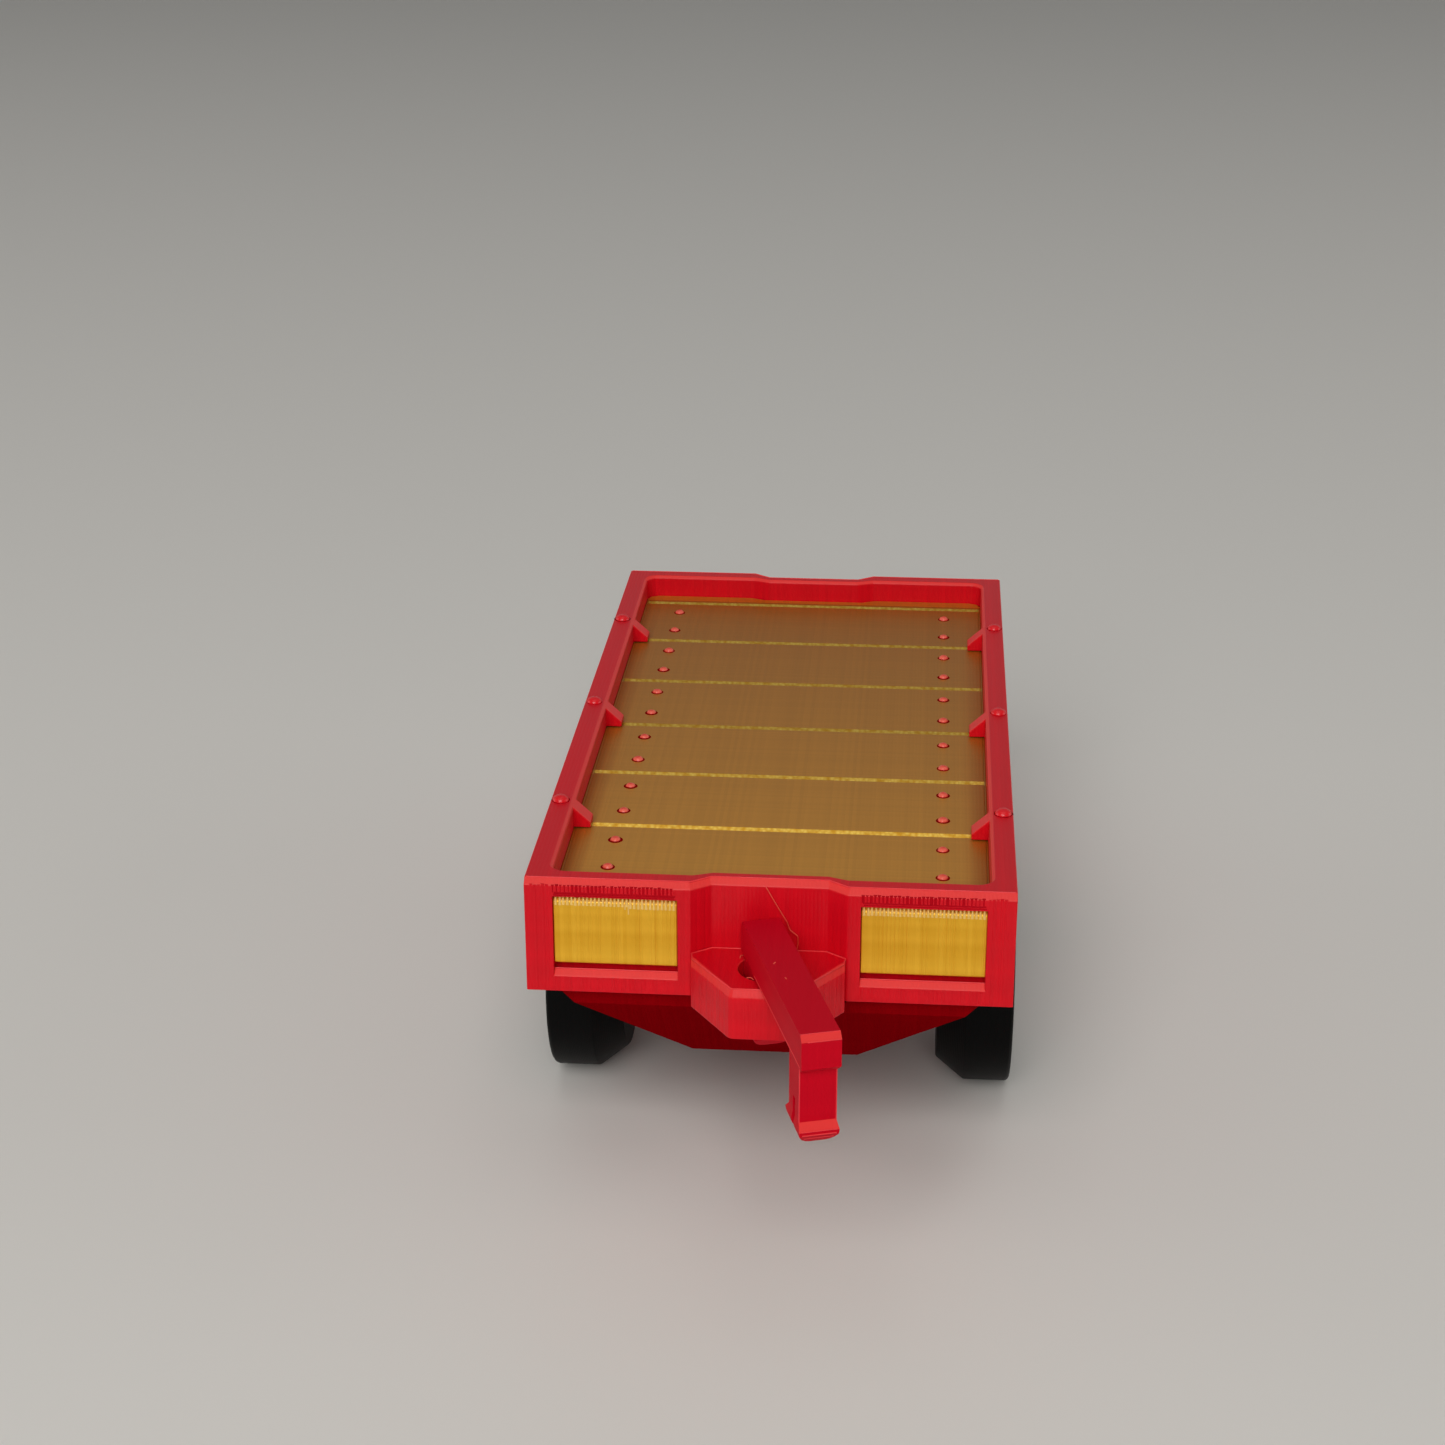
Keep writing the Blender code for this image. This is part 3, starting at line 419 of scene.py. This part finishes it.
def pinHeadTree():
    tree, given, result = newNodeTree("printedPinHeads", [
        ("headRadius", "Float"), ("headHeight", "Float"), ("unevenness", "Float"),
        ("seed", "Int"), ("plastic", "Material")])
    ball = addNode(tree, "GeometryNodeMeshUVSphere", inputs={
        "Segments": pinHead["segments"], "Rings": pinHead["rings"], "Radius": 1.0})
    size = addNode(tree, "ShaderNodeCombineXYZ", inputs={
        0: given.outputs["headRadius"], 1: given.outputs["headRadius"],
        2: given.outputs["headHeight"]})
    head = addNode(tree, "GeometryNodeTransform", inputs={
        0: ball.outputs[0], "Scale": size.outputs[0]})
    vary = addNode(tree, "FunctionNodeRandomValue", {"data_type": "FLOAT"}, {
        2: pinHead["smallest"], 3: pinHead["largest"], "Seed": given.outputs["seed"]})
    heads = addNode(tree, "GeometryNodeInstanceOnPoints", inputs={
        "Points": given.outputs[0], "Instance": head.outputs[0], "Scale": vary.outputs[1]})
    real = addNode(tree, "GeometryNodeRealizeInstances", inputs={0: heads.outputs[0]})
    spot = addNode(tree, "GeometryNodeInputPosition")
    noise = addNode(tree, "ShaderNodeTexNoise", {"noise_dimensions": "4D"}, {
        "Vector": spot.outputs[0], "W": given.outputs["seed"], "Scale": pinHead["dentScale"],
        "Detail": 1.0})
    inward = addNode(tree, "ShaderNodeMath", {"operation": "SUBTRACT"}, {
        0: noise.outputs[0], 1: 1.0})
    amount = addNode(tree, "ShaderNodeMath", {"operation": "MULTIPLY"}, {
        0: inward.outputs[0], 1: given.outputs["unevenness"]})
    outward = addNode(tree, "GeometryNodeInputNormal")
    push = addNode(tree, "ShaderNodeVectorMath", {"operation": "SCALE"}, {
        0: outward.outputs[0], "Scale": amount.outputs[0]})
    moved = addNode(tree, "GeometryNodeSetPosition", inputs={
        0: real.outputs[0], "Offset": push.outputs[0]})
    smooth = addNode(tree, "GeometryNodeSetShadeSmooth", inputs={0: moved.outputs[0]})
    dressed = addNode(tree, "GeometryNodeSetMaterial", inputs={
        0: smooth.outputs[0], "Material": given.outputs["plastic"]})
    tree.links.new(dressed.outputs[0], result.inputs[0])
    return tree


pinHeads = pinHeadTree()
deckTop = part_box("deck_board")[1][2]
# each head stands in a thin dark ring: painted shadow of the pin's hole round it
deckRivets = {"headRadius": 0.70 * mm, "headHeight": 0.52 * mm, "sunk": 0.02 * mm,
              "unevenness": 0.14 * mm, "seed": 7, "plastic": paleHighlightPla}
rivetShadowRings = {"headRadius": 0.88 * mm, "headHeight": 0.10 * mm, "sunk": 0.01 * mm,
              "unevenness": 0.03 * mm, "seed": 5, "plastic": redShadePla}
rimStuds = {"headRadius": 1.0 * mm, "headHeight": 0.70 * mm, "sunk": 0.05 * mm,
            "unevenness": 0.05 * mm, "seed": 3, "plastic": studPla}
studShadowRings = {"headRadius": 1.17 * mm, "headHeight": 0.06 * mm, "sunk": 0.01 * mm,
             "unevenness": 0.02 * mm, "seed": 9, "plastic": redShadePla}


def headsFor(pieceName, prefix, surfaceZ, sizes):
    # one dome on each CAD pin, on the same axis
    names = sorted(name for name in nodes if name.startswith(prefix))
    spots = []
    for name in names:
        low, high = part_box(name)
        spots.append(((low[0] + high[0]) / 2, (low[1] + high[1]) / 2, surfaceZ - sizes["sunk"]))
    mesh = bpy.data.meshes.new(pieceName)
    mesh.from_pydata(spots, [], [])
    piece = grownMesh(pieceName, mesh, pinHeads, sizes)
    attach(piece, "trailer")
    return piece, names


rivetHeads, rivetNames = headsFor("deckRivetHeads", "deck_rivet", deckTop, deckRivets)
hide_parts(*rivetNames)
headsFor("deckRivetShadowRings", "deck_rivet", deckTop, rivetShadowRings)
headsFor("rimStudShadowRings", "rim_stud", rimZ, studShadowRings)
studHeads, studNames = headsFor("rimStudHeads", "rim_stud", rimZ, rimStuds)
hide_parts(*studNames)
print("pin heads grown")


# Rows of extruded lines, side by side, each following one path
lineSection = {"sides": 8, "bendSteps": 2}


def lineRowTree():
    tree, given, result = newNodeTree("extrudedLineRow", [
        ("count", "Int"), ("step", "Vector"), ("lineRadius", "Float"), ("bend", "Float"),
        ("jitter", "Vector"), ("seed", "Int"), ("plastic", "Material")])
    row = addNode(tree, "GeometryNodeMeshLine", inputs={
        "Count": given.outputs["count"], "Offset": given.outputs["step"]})
    path = addNode(tree, "GeometryNodeMeshToCurve", inputs={0: given.outputs[0]})
    soft = addNode(tree, "GeometryNodeFilletCurve", {"mode": "POLY"}, {
        0: path.outputs[0], "Count": lineSection["bendSteps"], "Radius": given.outputs["bend"]})
    copies = addNode(tree, "GeometryNodeInstanceOnPoints", inputs={
        "Points": row.outputs[0], "Instance": soft.outputs[0]})
    chance = addNode(tree, "FunctionNodeRandomValue", {"data_type": "FLOAT_VECTOR"}, {
        0: (-0.5, -0.5, -0.5), 1: (0.5, 0.5, 0.5), "Seed": given.outputs["seed"]})
    shift = addNode(tree, "ShaderNodeVectorMath", {"operation": "MULTIPLY"}, {
        0: chance.outputs[0], 1: given.outputs["jitter"]})
    uneven = addNode(tree, "GeometryNodeTranslateInstances", inputs={
        0: copies.outputs[0], "Translation": shift.outputs[0]})
    real = addNode(tree, "GeometryNodeRealizeInstances", inputs={0: uneven.outputs[0]})
    section = addNode(tree, "GeometryNodeCurvePrimitiveCircle", inputs={
        "Resolution": lineSection["sides"], "Radius": given.outputs["lineRadius"]})
    beads = addNode(tree, "GeometryNodeCurveToMesh", inputs={
        0: real.outputs[0], "Profile Curve": section.outputs[0], "Fill Caps": True})
    smooth = addNode(tree, "GeometryNodeSetShadeSmooth", inputs={0: beads.outputs[0]})
    dressed = addNode(tree, "GeometryNodeSetMaterial", inputs={
        0: smooth.outputs[0], "Material": given.outputs["plastic"]})
    tree.links.new(dressed.outputs[0], result.inputs[0])
    return tree


lineRow = lineRowTree()


def beadRow(path, look, count=1, step=(0, 0, 0), seed=1):
    # a look's jitter is the whole width of its lines' scatter along X, Y and Z
    return grownMesh("beads", pathMesh("beadPath", path), lineRow, {
        "count": count, "step": step, "seed": seed, "lineRadius": look["lineRadius"],
        "bend": look.get("bend", 0.0), "jitter": look.get("jitter", (0, 0, 0)),
        "plastic": look["plastic"]})


def finishBeads(pieceName, group, body="trailer"):
    piece = joinMeshes(pieceName, group)
    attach(piece, body)
    print(pieceName, "grown")


# Gold panels: the lines run up the face, turn over its top edge and end there in a comb, painted
# pale straw as a highlight.
# On one panel the print paused: from there its top edge steps down, and two drips hang from it.
panelLines = {
    "lineRadius": 0.24 * mm, "bend": 0.18 * mm, "plastic": goldSilkPla, "proud": 0.04 * mm,
    "bevelDrop": 0.76 * mm, "bevelRun": 0.62 * mm, "sideMargin": 0.26 * mm,
    "footMargin": 0.25 * mm, "jitter": (0, 0.04 * mm, 0.10 * mm), "seed": 11,
    "stepPanel": "front_panel_left", "stepShare": 0.62, "stepDrop": 0.20 * mm}
panelHighlightBand = {
    "lineRadius": 0.215 * mm, "plastic": silkHighlightPla, "drop": 0.98 * mm, "below": 0.42 * mm,
    "lean": 0.06 * mm, "jitter": (0.02 * mm, 0.02 * mm, 0.05 * mm), "seed": 5}
panelTeeth = {
    "lineRadius": 0.13 * mm, "plastic": silkHighlightPla, "drop": 0.5 * mm, "below": 0.04 * mm,
    "lean": 0.14 * mm, "jitter": (0.06 * mm, 0.04 * mm, 0.18 * mm), "seed": 5}
panelDrips = {
    "lineRadius": 0.08 * mm, "plastic": silkHighlightPla, "long": 1.15 * mm, "short": 0.6 * mm,
    "apart": 0.36 * mm}


def linesOnPanel(nodeName):
    look = panelLines
    low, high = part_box(nodeName)
    foot, top = low[2] + look["footMargin"], high[2]
    out = -1 if nodeName.startswith("front") else 1
    outerY = low[1] if out < 0 else high[1]
    face = outerY - out * (look["lineRadius"] - look["proud"])
    back = face - out * look["bevelRun"]
    first = low[0] + look["sideMargin"]
    total = int((high[0] - low[0] - 2 * look["sideMargin"]) / pitch) + 1
    split = int(total * look["stepShare"]) if nodeName == look["stepPanel"] else total
    lines, teeth = [], []
    for start, end, drop in ((0, split, 0.0), (split, total, look["stepDrop"])):
        if start == end:
            continue
        x = first + start * pitch
        path = [(x, face, foot), (x, face, top - look["bevelDrop"] - drop), (x, back, top)]
        lines.append(beadRow(path, look, end - start, (pitch, 0, 0), look["seed"] + start))
        for part in (panelHighlightBand, panelTeeth):
            front = outerY - out * (part["lineRadius"] - 2 * look["proud"])
            comb = [(x, front, top - part["drop"] - drop),
                    (x, front - out * part["lean"], top - part["below"])]
            teeth.append(beadRow(comb, part, end - start, (pitch, 0, 0), part["seed"] + start))
        if start:
            edge = top - look["bevelDrop"] + drop / 2
            dripX = x - pitch / 2
            for x, length in ((dripX, panelDrips["long"]),
                              (dripX - panelDrips["apart"], panelDrips["short"])):
                teeth.append(beadRow([(x, outerY, edge), (x, outerY, edge - length)], panelDrips))
    return lines, teeth


panelBeads = [linesOnPanel(name) for name in sorted(nodes) if "_panel_" in name]
finishBeads("panelPrintLines", sum((lines for lines, teeth in panelBeads), []))
finishBeads("panelCombHighlight", sum((teeth for lines, teeth in panelBeads), []))

# End walls: upright lines on the posts, under the sills and over the windows, where level bridge
# lines carry them. Their ends show as a comb against the top chamfer.
wallLines = {
    "lineRadius": 0.22 * mm, "plastic": redPla, "proud": 0.04 * mm,
    "combTop": 0.59 * mm, "overWindow": 1.45 * mm, "sill": 11.5 * mm,    # all below the rim
    "foot": 0.3 * mm, "cornerMargin": 0.55 * mm, "postWidth": 2.3 * mm, "innerX": 9.9 * mm,
    "jitter": (0, 0.05 * mm, 0.13 * mm), "seed": 40}
# over the windows the upright and level lines take a darker red: painted shade
overLines = {**wallLines, "plastic": redOverWindowShadePla, "jitter": (0, 0.05 * mm, 0.07 * mm)}
bridgeLines = {
    "lineRadius": 0.17 * mm, "plastic": redOverWindowShadePla, "depth": 0.12 * mm, "farX": 22.8 * mm,
    "top": 1.5 * mm, "step": 0.24 * mm, "count": 2, "jitter": (0.2 * mm, 0.03 * mm, 0),
    "seed": 60}


def linesOnWall(out, side):
    # gives the rows that lie on the wall, and the rows over the window
    outerY = bedLow[1] if out < 0 else bedHigh[1]
    face = outerY - out * (wallLines["lineRadius"] - wallLines["proud"])
    innerX, farX = wallLines["innerX"], bedHigh[0] - wallLines["cornerMargin"]
    postX = farX - wallLines["postWidth"]
    foot, combTop = bedLow[2] + wallLines["foot"], rimZ - wallLines["combTop"]
    zones = [(wallLines, postX, farX, foot, combTop),
             (wallLines, innerX, postX, foot, rimZ - wallLines["sill"]),
             (overLines, innerX, postX, rimZ - wallLines["overWindow"], combTop)]
    rows = []
    for number, (look, nearX, endX, bottom, top) in enumerate(zones):
        count = int((endX - nearX) / pitch)
        start = nearX if side > 0 else -nearX - count * pitch
        rows.append(beadRow([(start, face, bottom), (start, face, top)], look, count,
                            (pitch, 0, 0), look["seed"] + 4 * number + side + 2 * out))
    y, z = outerY - out * bridgeLines["depth"], rimZ - bridgeLines["top"]
    level = beadRow([(side * innerX, y, z), (side * bridgeLines["farX"], y, z)], bridgeLines,
                    bridgeLines["count"], (0, 0, -bridgeLines["step"]),
                    bridgeLines["seed"] + side)
    return rows[:2], [rows[2], level]


wallBeads = [linesOnWall(out, side) for out in (-1, 1) for side in (-1, 1)]
finishBeads("endWallPrintLines", sum((upright for upright, bridged in wallBeads), []))
finishBeads("windowBridgeLines", sum((bridged for upright, bridged in wallBeads), []))

# Inside of the side walls: layer on layer, each line the length of the bed
innerLines = {
    "lineRadius": 0.15 * mm, "plastic": redPla, "wallX": 23.35 * mm, "halfLength": 46.7 * mm,
    "proud": 0.05 * mm, "aboveDeck": 0.15 * mm, "step": 0.31 * mm, "count": 8,
    "jitter": (0.05 * mm, 0, 0), "seed": 80}


def linesInside(side):
    x = side * (innerLines["wallX"] + innerLines["lineRadius"] - innerLines["proud"])
    z = deckTop + innerLines["aboveDeck"]
    path = [(x, bedMiddleY - innerLines["halfLength"], z),
            (x, bedMiddleY + innerLines["halfLength"], z)]
    return beadRow(path, innerLines, innerLines["count"], (0, 0, innerLines["step"]),
                   innerLines["seed"] + side)


finishBeads("sideWallPrintLines", [linesInside(side) for side in (-1, 1)])

# Deck: its outermost line lies against the walls and steps in behind the hitches
deckEdge = {
    "lineRadius": 0.19 * mm, "plastic": deckSilk, "x": 23.19 * mm, "y": 48.19 * mm,
    "corner": 1.4 * mm, "cornerShare": 0.3, "stepX": 8.6 * mm, "stepY": 0.8 * mm,
    "stepRun": 1.8 * mm}


def deckEdgePath():
    x, y, cut = deckEdge["x"], deckEdge["y"], deckEdge["corner"]
    near = cut * deckEdge["cornerShare"]
    stepX, deep = deckEdge["stepX"], y - deckEdge["stepY"]
    quarter = [(x, 0), (x, y - cut), (x - near, y - near), (x - cut, y), (stepX, y),
               (stepX - deckEdge["stepRun"], deep), (0, deep)]
    half = quarter + [(-px, py) for px, py in reversed(quarter[:-1])]
    loop = half + [(px, -py) for px, py in reversed(half[1:-1])] + [quarter[0]]
    return [(px, bedMiddleY + py, deckTop - deckEdge["lineRadius"]) for px, py in loop]


finishBeads("deckEdgeLine", [beadRow(deckEdgePath(), deckEdge)])

# Front hitch shelf: upright lines round its three faces. Lengths run from the bed's middle.
shelf = {
    "lineRadius": 0.225 * mm, "plastic": redPla, "proud": 0.03 * mm,
    "jitter": (0.02 * mm, 0.03 * mm, 0.1 * mm), "seed": 90,
    "mouth": 8.18 * mm, "floor": 6.08 * mm, "nose": 3.55 * mm,           # half widths
    "wall": 49.62 * mm, "face": 51.12 * mm, "straight": 52.4 * mm, "tip": 59.15 * mm,
    "chamfer": 0.4 * mm, "chamferDrop": 0.9 * mm, "footMargin": 0.25 * mm, "ends": 0.7 * mm}
shelfLow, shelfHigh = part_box("hitch_shelf_front")


def linesOnShelf():
    group = []
    foot, top = shelfLow[2] + shelf["footMargin"], shelfHigh[2] - shelf["chamferDrop"]
    corners = [(-shelf["mouth"], shelf["straight"]), (-shelf["nose"], shelf["tip"]),
               (shelf["nose"], shelf["tip"]), (shelf["mouth"], shelf["straight"])]
    for number, (start, end) in enumerate(zip(corners, corners[1:])):
        along = Vector((end[0] - start[0], start[1] - end[1], 0))
        length = along.length
        along.normalize()
        inward = Vector((-along.y, along.x, 0)) * (shelf["lineRadius"] - shelf["proud"])
        first = Vector((start[0], bedMiddleY - start[1], 0)) + inward + along * shelf["ends"]
        count = int((length - 2 * shelf["ends"]) / pitch) + 1
        path = [(first.x, first.y, foot), (first.x, first.y, top)]
        group.append(beadRow(path, shelf, count, tuple(along * pitch), shelf["seed"] + number))
    return group


finishBeads("shelfPrintLines", linesOnShelf())

# Coral lines that paint the highlight on edges: sills, the end walls' top edge, and the outline of
# each shelf's top
edgeHighlights = {
    "lineRadius": 0.08 * mm, "plastic": coralHighlightPla, "sunk": 0.03 * mm, "chamfer": 0.7 * mm,
    "bedEnd": 51.0 * mm, "corner": 25.8 * mm,
    "stepMouth": 8.3 * mm, "stepFloor": 6.2 * mm, "stepDepth": 1.5 * mm,
    "sillZ": 10.75 * mm, "sillNear": 9.75 * mm, "sillFar": 22.95 * mm, "sillIn": 0.65 * mm}


def highlightedEdges(out):
    look = edgeHighlights
    y = look["bedEnd"] - look["chamfer"]
    deep = y - look["stepDepth"]
    half = [(look["corner"], y), (look["stepMouth"], y), (look["stepFloor"], deep)]
    whole = half + [(-px, py) for px, py in reversed(half)]
    rim = [(px, py, rimZ - look["sunk"]) for px, py in whole]
    inset = shelf["chamfer"]
    front = [(shelf["mouth"], shelf["face"]), (shelf["mouth"] - inset / 2, shelf["straight"]),
             (shelf["nose"] - inset / 2, shelf["tip"] - inset)]
    behind = [(-shelf["floor"], shelf["wall"]), (shelf["floor"], shelf["wall"])]
    ring = front + [(-px, py) for px, py in reversed(front)] + behind + front[:1]
    paths = [rim, [(px, py, shelfHigh[2]) for px, py in ring]]
    sill, sillZ = look["bedEnd"] - look["sillIn"], rimZ - look["sillZ"]
    for side in (-1, 1):
        paths.append([(side * look["sillNear"], sill, sillZ), (side * look["sillFar"], sill, sillZ)])
    return [beadRow([(px, bedMiddleY + out * py, pz) for px, py, pz in path], look)
            for path in paths]


finishBeads("highlightedEdges", highlightedEdges(-1) + highlightedEdges(1))

# Drawbar link: places along the bar, across it and above the floor, swung as the CAD link is
linkPlace = {
    "swing": math.radians(17), "axis": 53.9 * mm, "halfWidth": 2.0 * mm, "end": 23.0 * mm,
    "chamfer": 0.6 * mm, "top": 34.65 * mm, "foot": 31.05 * mm, "footFrom": 3 * mm,
    "pegFace": 21.8 * mm, "pegHalf": 1.88 * mm, "pegTop": 30.6 * mm,
    "barb": 22.6 * mm, "barbTop": 24.5 * mm}
# coral lines that paint highlights on the link's edges, pegs and barb ridges
linkEdges = {
    "lineRadius": 0.06 * mm, "plastic": coralHighlightPla,
    "startShare": -0.7,     # the painted highlight on the end's upper edge starts here, as a share of half the width
    # ridges of the barb in millimetres: height, how far back, half width
    "barbRidges": ((23.85, 0.0, 1.8), (23.45, 0.0, 1.75), (22.95, 0.32, 1.5))}


def onLink(along, across, z):
    turn = linkPlace["swing"]
    return (along * math.sin(turn) + across * math.cos(turn),
            bedMiddleY - linkPlace["axis"] - along * math.cos(turn) + across * math.sin(turn), z)


def linesOnLink():
    at = linkPlace
    half, end, drop = at["halfWidth"], at["end"], at["chamfer"]
    low = at["top"] - drop
    paths = [[onLink(end, linkEdges["startShare"] * half, low), onLink(end, half, low)],
             [onLink(end - drop, -half, at["top"]), onLink(end - drop, half, at["top"])],
             [onLink(at["footFrom"], -half, at["foot"]), onLink(end - drop, -half, at["foot"])]]
    for side in (-1, 1):
        peg = side * at["pegHalf"]
        paths.append([onLink(at["pegFace"], peg, at["pegTop"]),
                      onLink(at["pegFace"], peg, at["barbTop"])])
    for z, back, width in linkEdges["barbRidges"]:
        place = at["barb"] - back * mm
        paths.append([onLink(place, -width * mm, z * mm), onLink(place, width * mm, z * mm)])
    return [beadRow(path, linkEdges) for path in paths]


finishBeads("linkHighlightLines", linesOnLink(), "drawbar")

# Stray hairs that the nozzle pulled, in millimetres from the bed's middle and the floor: one
# across the step behind the link, two at the hole's rim, and two on the link itself
hairs = {
    "lineRadius": 0.055 * mm, "plastic": paleHighlightPla, "bend": 0.3 * mm,
    "onTrailer": [
        [(-0.37, -49.75, 37.65), (0.69, -49.9, 35.8), (1.87, -49.9, 33.75), (2.2, -49.9, 32.8),
         (3.05, -49.9, 32.1), (3.07, -49.9, 31.2), (2.9, -49.9, 30.3)],
        [(-2.96, -51.9, 30.25), (-2.94, -51.5, 30.4), (-2.5, -51.1, 30.25)],
        [(-1.95, -56.2, 30.25), (-1.5, -56.3, 30.35), (-1.2, -56.6, 30.25)]],
    "onLink": [
        [(1.12, -61.3, 34.65), (1.32, -61.0, 34.68)],
        [(2.5, -64.2, 34.65), (2.66, -64.55, 34.67)]]}


def hairBeads(paths):
    return [beadRow([(x * mm, bedMiddleY + y * mm, z * mm) for x, y, z in path], hairs)
            for path in paths]


finishBeads("strayHairs", hairBeads(hairs["onTrailer"]))
finishBeads("linkHairs", hairBeads(hairs["onLink"]), "drawbar")


# Studio: a pale floor, soft lamps, and a room that is brighter behind the toy
studio = {
    "floorSize": 6.0, "floorColour": "#ECE8E1", "floorRough": 0.6, "roomColour": "#DADCDC",
    "roomFront": 0.11, "roomBehind": 0.44, "turnsFrom": -0.1, "turnsTo": 0.95,
    "bandNarrowness": 7.0, "bandStrength": 0.4,
    "lampsLookAt": (0, 0, 0.03),
}
# each lamp: place, size and power
lamps = {
    "keyLight": ((-0.08, -1.0, 0.74), 0.75, 9.4),
    "topLight": ((0.0, -0.15, 1.2), 0.8, 1.2),
    "leftLight": ((-1.3, 0.1, 0.3), 0.9, 3.0),
    "rightLight": ((1.3, 0.1, 0.3), 0.9, 3.0),
}


def areaLight(name, place, size, power):
    light = bpy.data.lights.new(name, "AREA")
    light.size = size
    light.energy = power
    obj = bpy.data.objects.new(name, light)
    obj.location = place
    aim = Vector(studio["lampsLookAt"]) - Vector(place)
    obj.rotation_euler = aim.to_track_quat("-Z", "Y").to_euler()
    bpy.context.scene.collection.objects.link(obj)


def makeRoom():
    world = bpy.data.worlds.new("paleRoom")
    world.use_nodes = True
    tree = world.node_tree
    direction = addNode(tree, "ShaderNodeTexCoord")
    parts = addNode(tree, "ShaderNodeSeparateXYZ", inputs={0: direction.outputs["Generated"]})
    strength = addNode(tree, "ShaderNodeMapRange", {"interpolation_type": "SMOOTHSTEP"}, {
        "Value": parts.outputs["Y"], "From Min": studio["turnsFrom"],
        "From Max": studio["turnsTo"], "To Min": studio["roomFront"],
        "To Max": studio["roomBehind"]})
    # a thin pale band along the horizon at both sides, for the views from there
    sideways = addNode(tree, "ShaderNodeMath", {"operation": "ABSOLUTE"}, {0: parts.outputs["X"]})
    upDown = addNode(tree, "ShaderNodeMath", {"operation": "ABSOLUTE"}, {0: parts.outputs["Z"]})
    flatness = addNode(tree, "ShaderNodeMath", {"operation": "SUBTRACT"}, {
        0: 1.0, 1: upDown.outputs[0]})
    narrowed = addNode(tree, "ShaderNodeMath", {"operation": "POWER"}, {
        0: flatness.outputs[0], 1: studio["bandNarrowness"]})
    band = addNode(tree, "ShaderNodeMath", {"operation": "MULTIPLY"}, {
        0: narrowed.outputs[0], 1: sideways.outputs[0]})
    total = addNode(tree, "ShaderNodeMath", {"operation": "MULTIPLY_ADD"}, {
        0: band.outputs[0], 1: studio["bandStrength"], 2: strength.outputs["Result"]})
    backdrop = tree.nodes["Background"]
    backdrop.inputs["Color"].default_value = linearColour(studio["roomColour"])
    tree.links.new(total.outputs[0], backdrop.inputs["Strength"])
    bpy.context.scene.world = world


def makeFloor():
    half = studio["floorSize"] / 2
    corners = [(-half, -half, 0), (half, -half, 0), (half, half, 0), (-half, half, 0)]
    mesh = bpy.data.meshes.new("studioFloor")
    mesh.from_pydata(corners, [], [(0, 1, 2, 3)])
    floor = bpy.data.objects.new("studioFloor", mesh)
    bpy.context.scene.collection.objects.link(floor)
    material, tree, output = newMaterial("paleStudioFloor")
    shader = addNode(tree, "ShaderNodeBsdfPrincipled", inputs={
        "Base Color": linearColour(studio["floorColour"]), "Roughness": studio["floorRough"]})
    tree.links.new(shader.outputs[0], output.inputs["Surface"])
    mesh.materials.append(material)


makeRoom()
makeFloor()
for name, (place, size, power) in lamps.items():
    areaLight(name, place, size, power)

# Camera: fitted to the photograph's own view of the bed
cameraSet = {
    "right": 14.87 * mm, "back": 295.55 * mm, "up": 156.48 * mm, "turn": (67.885, 0.065, 4.587),
    "lens": 64.48, "sensor": 36.0, "clipStart": 10 * mm}
camera = bpy.data.objects.new("photoCamera", bpy.data.cameras.new("photoCamera"))
camera.location = (cameraSet["right"], bedMiddleY - cameraSet["back"], cameraSet["up"])
camera.rotation_euler = [math.radians(a) for a in cameraSet["turn"]]
camera.data.lens = cameraSet["lens"]
camera.data.sensor_width = cameraSet["sensor"]
camera.data.clip_start = cameraSet["clipStart"]
bpy.context.scene.collection.objects.link(camera)
bpy.context.scene.camera = camera
bpy.context.scene.view_settings.view_transform = "Standard"
print("studio and camera set")
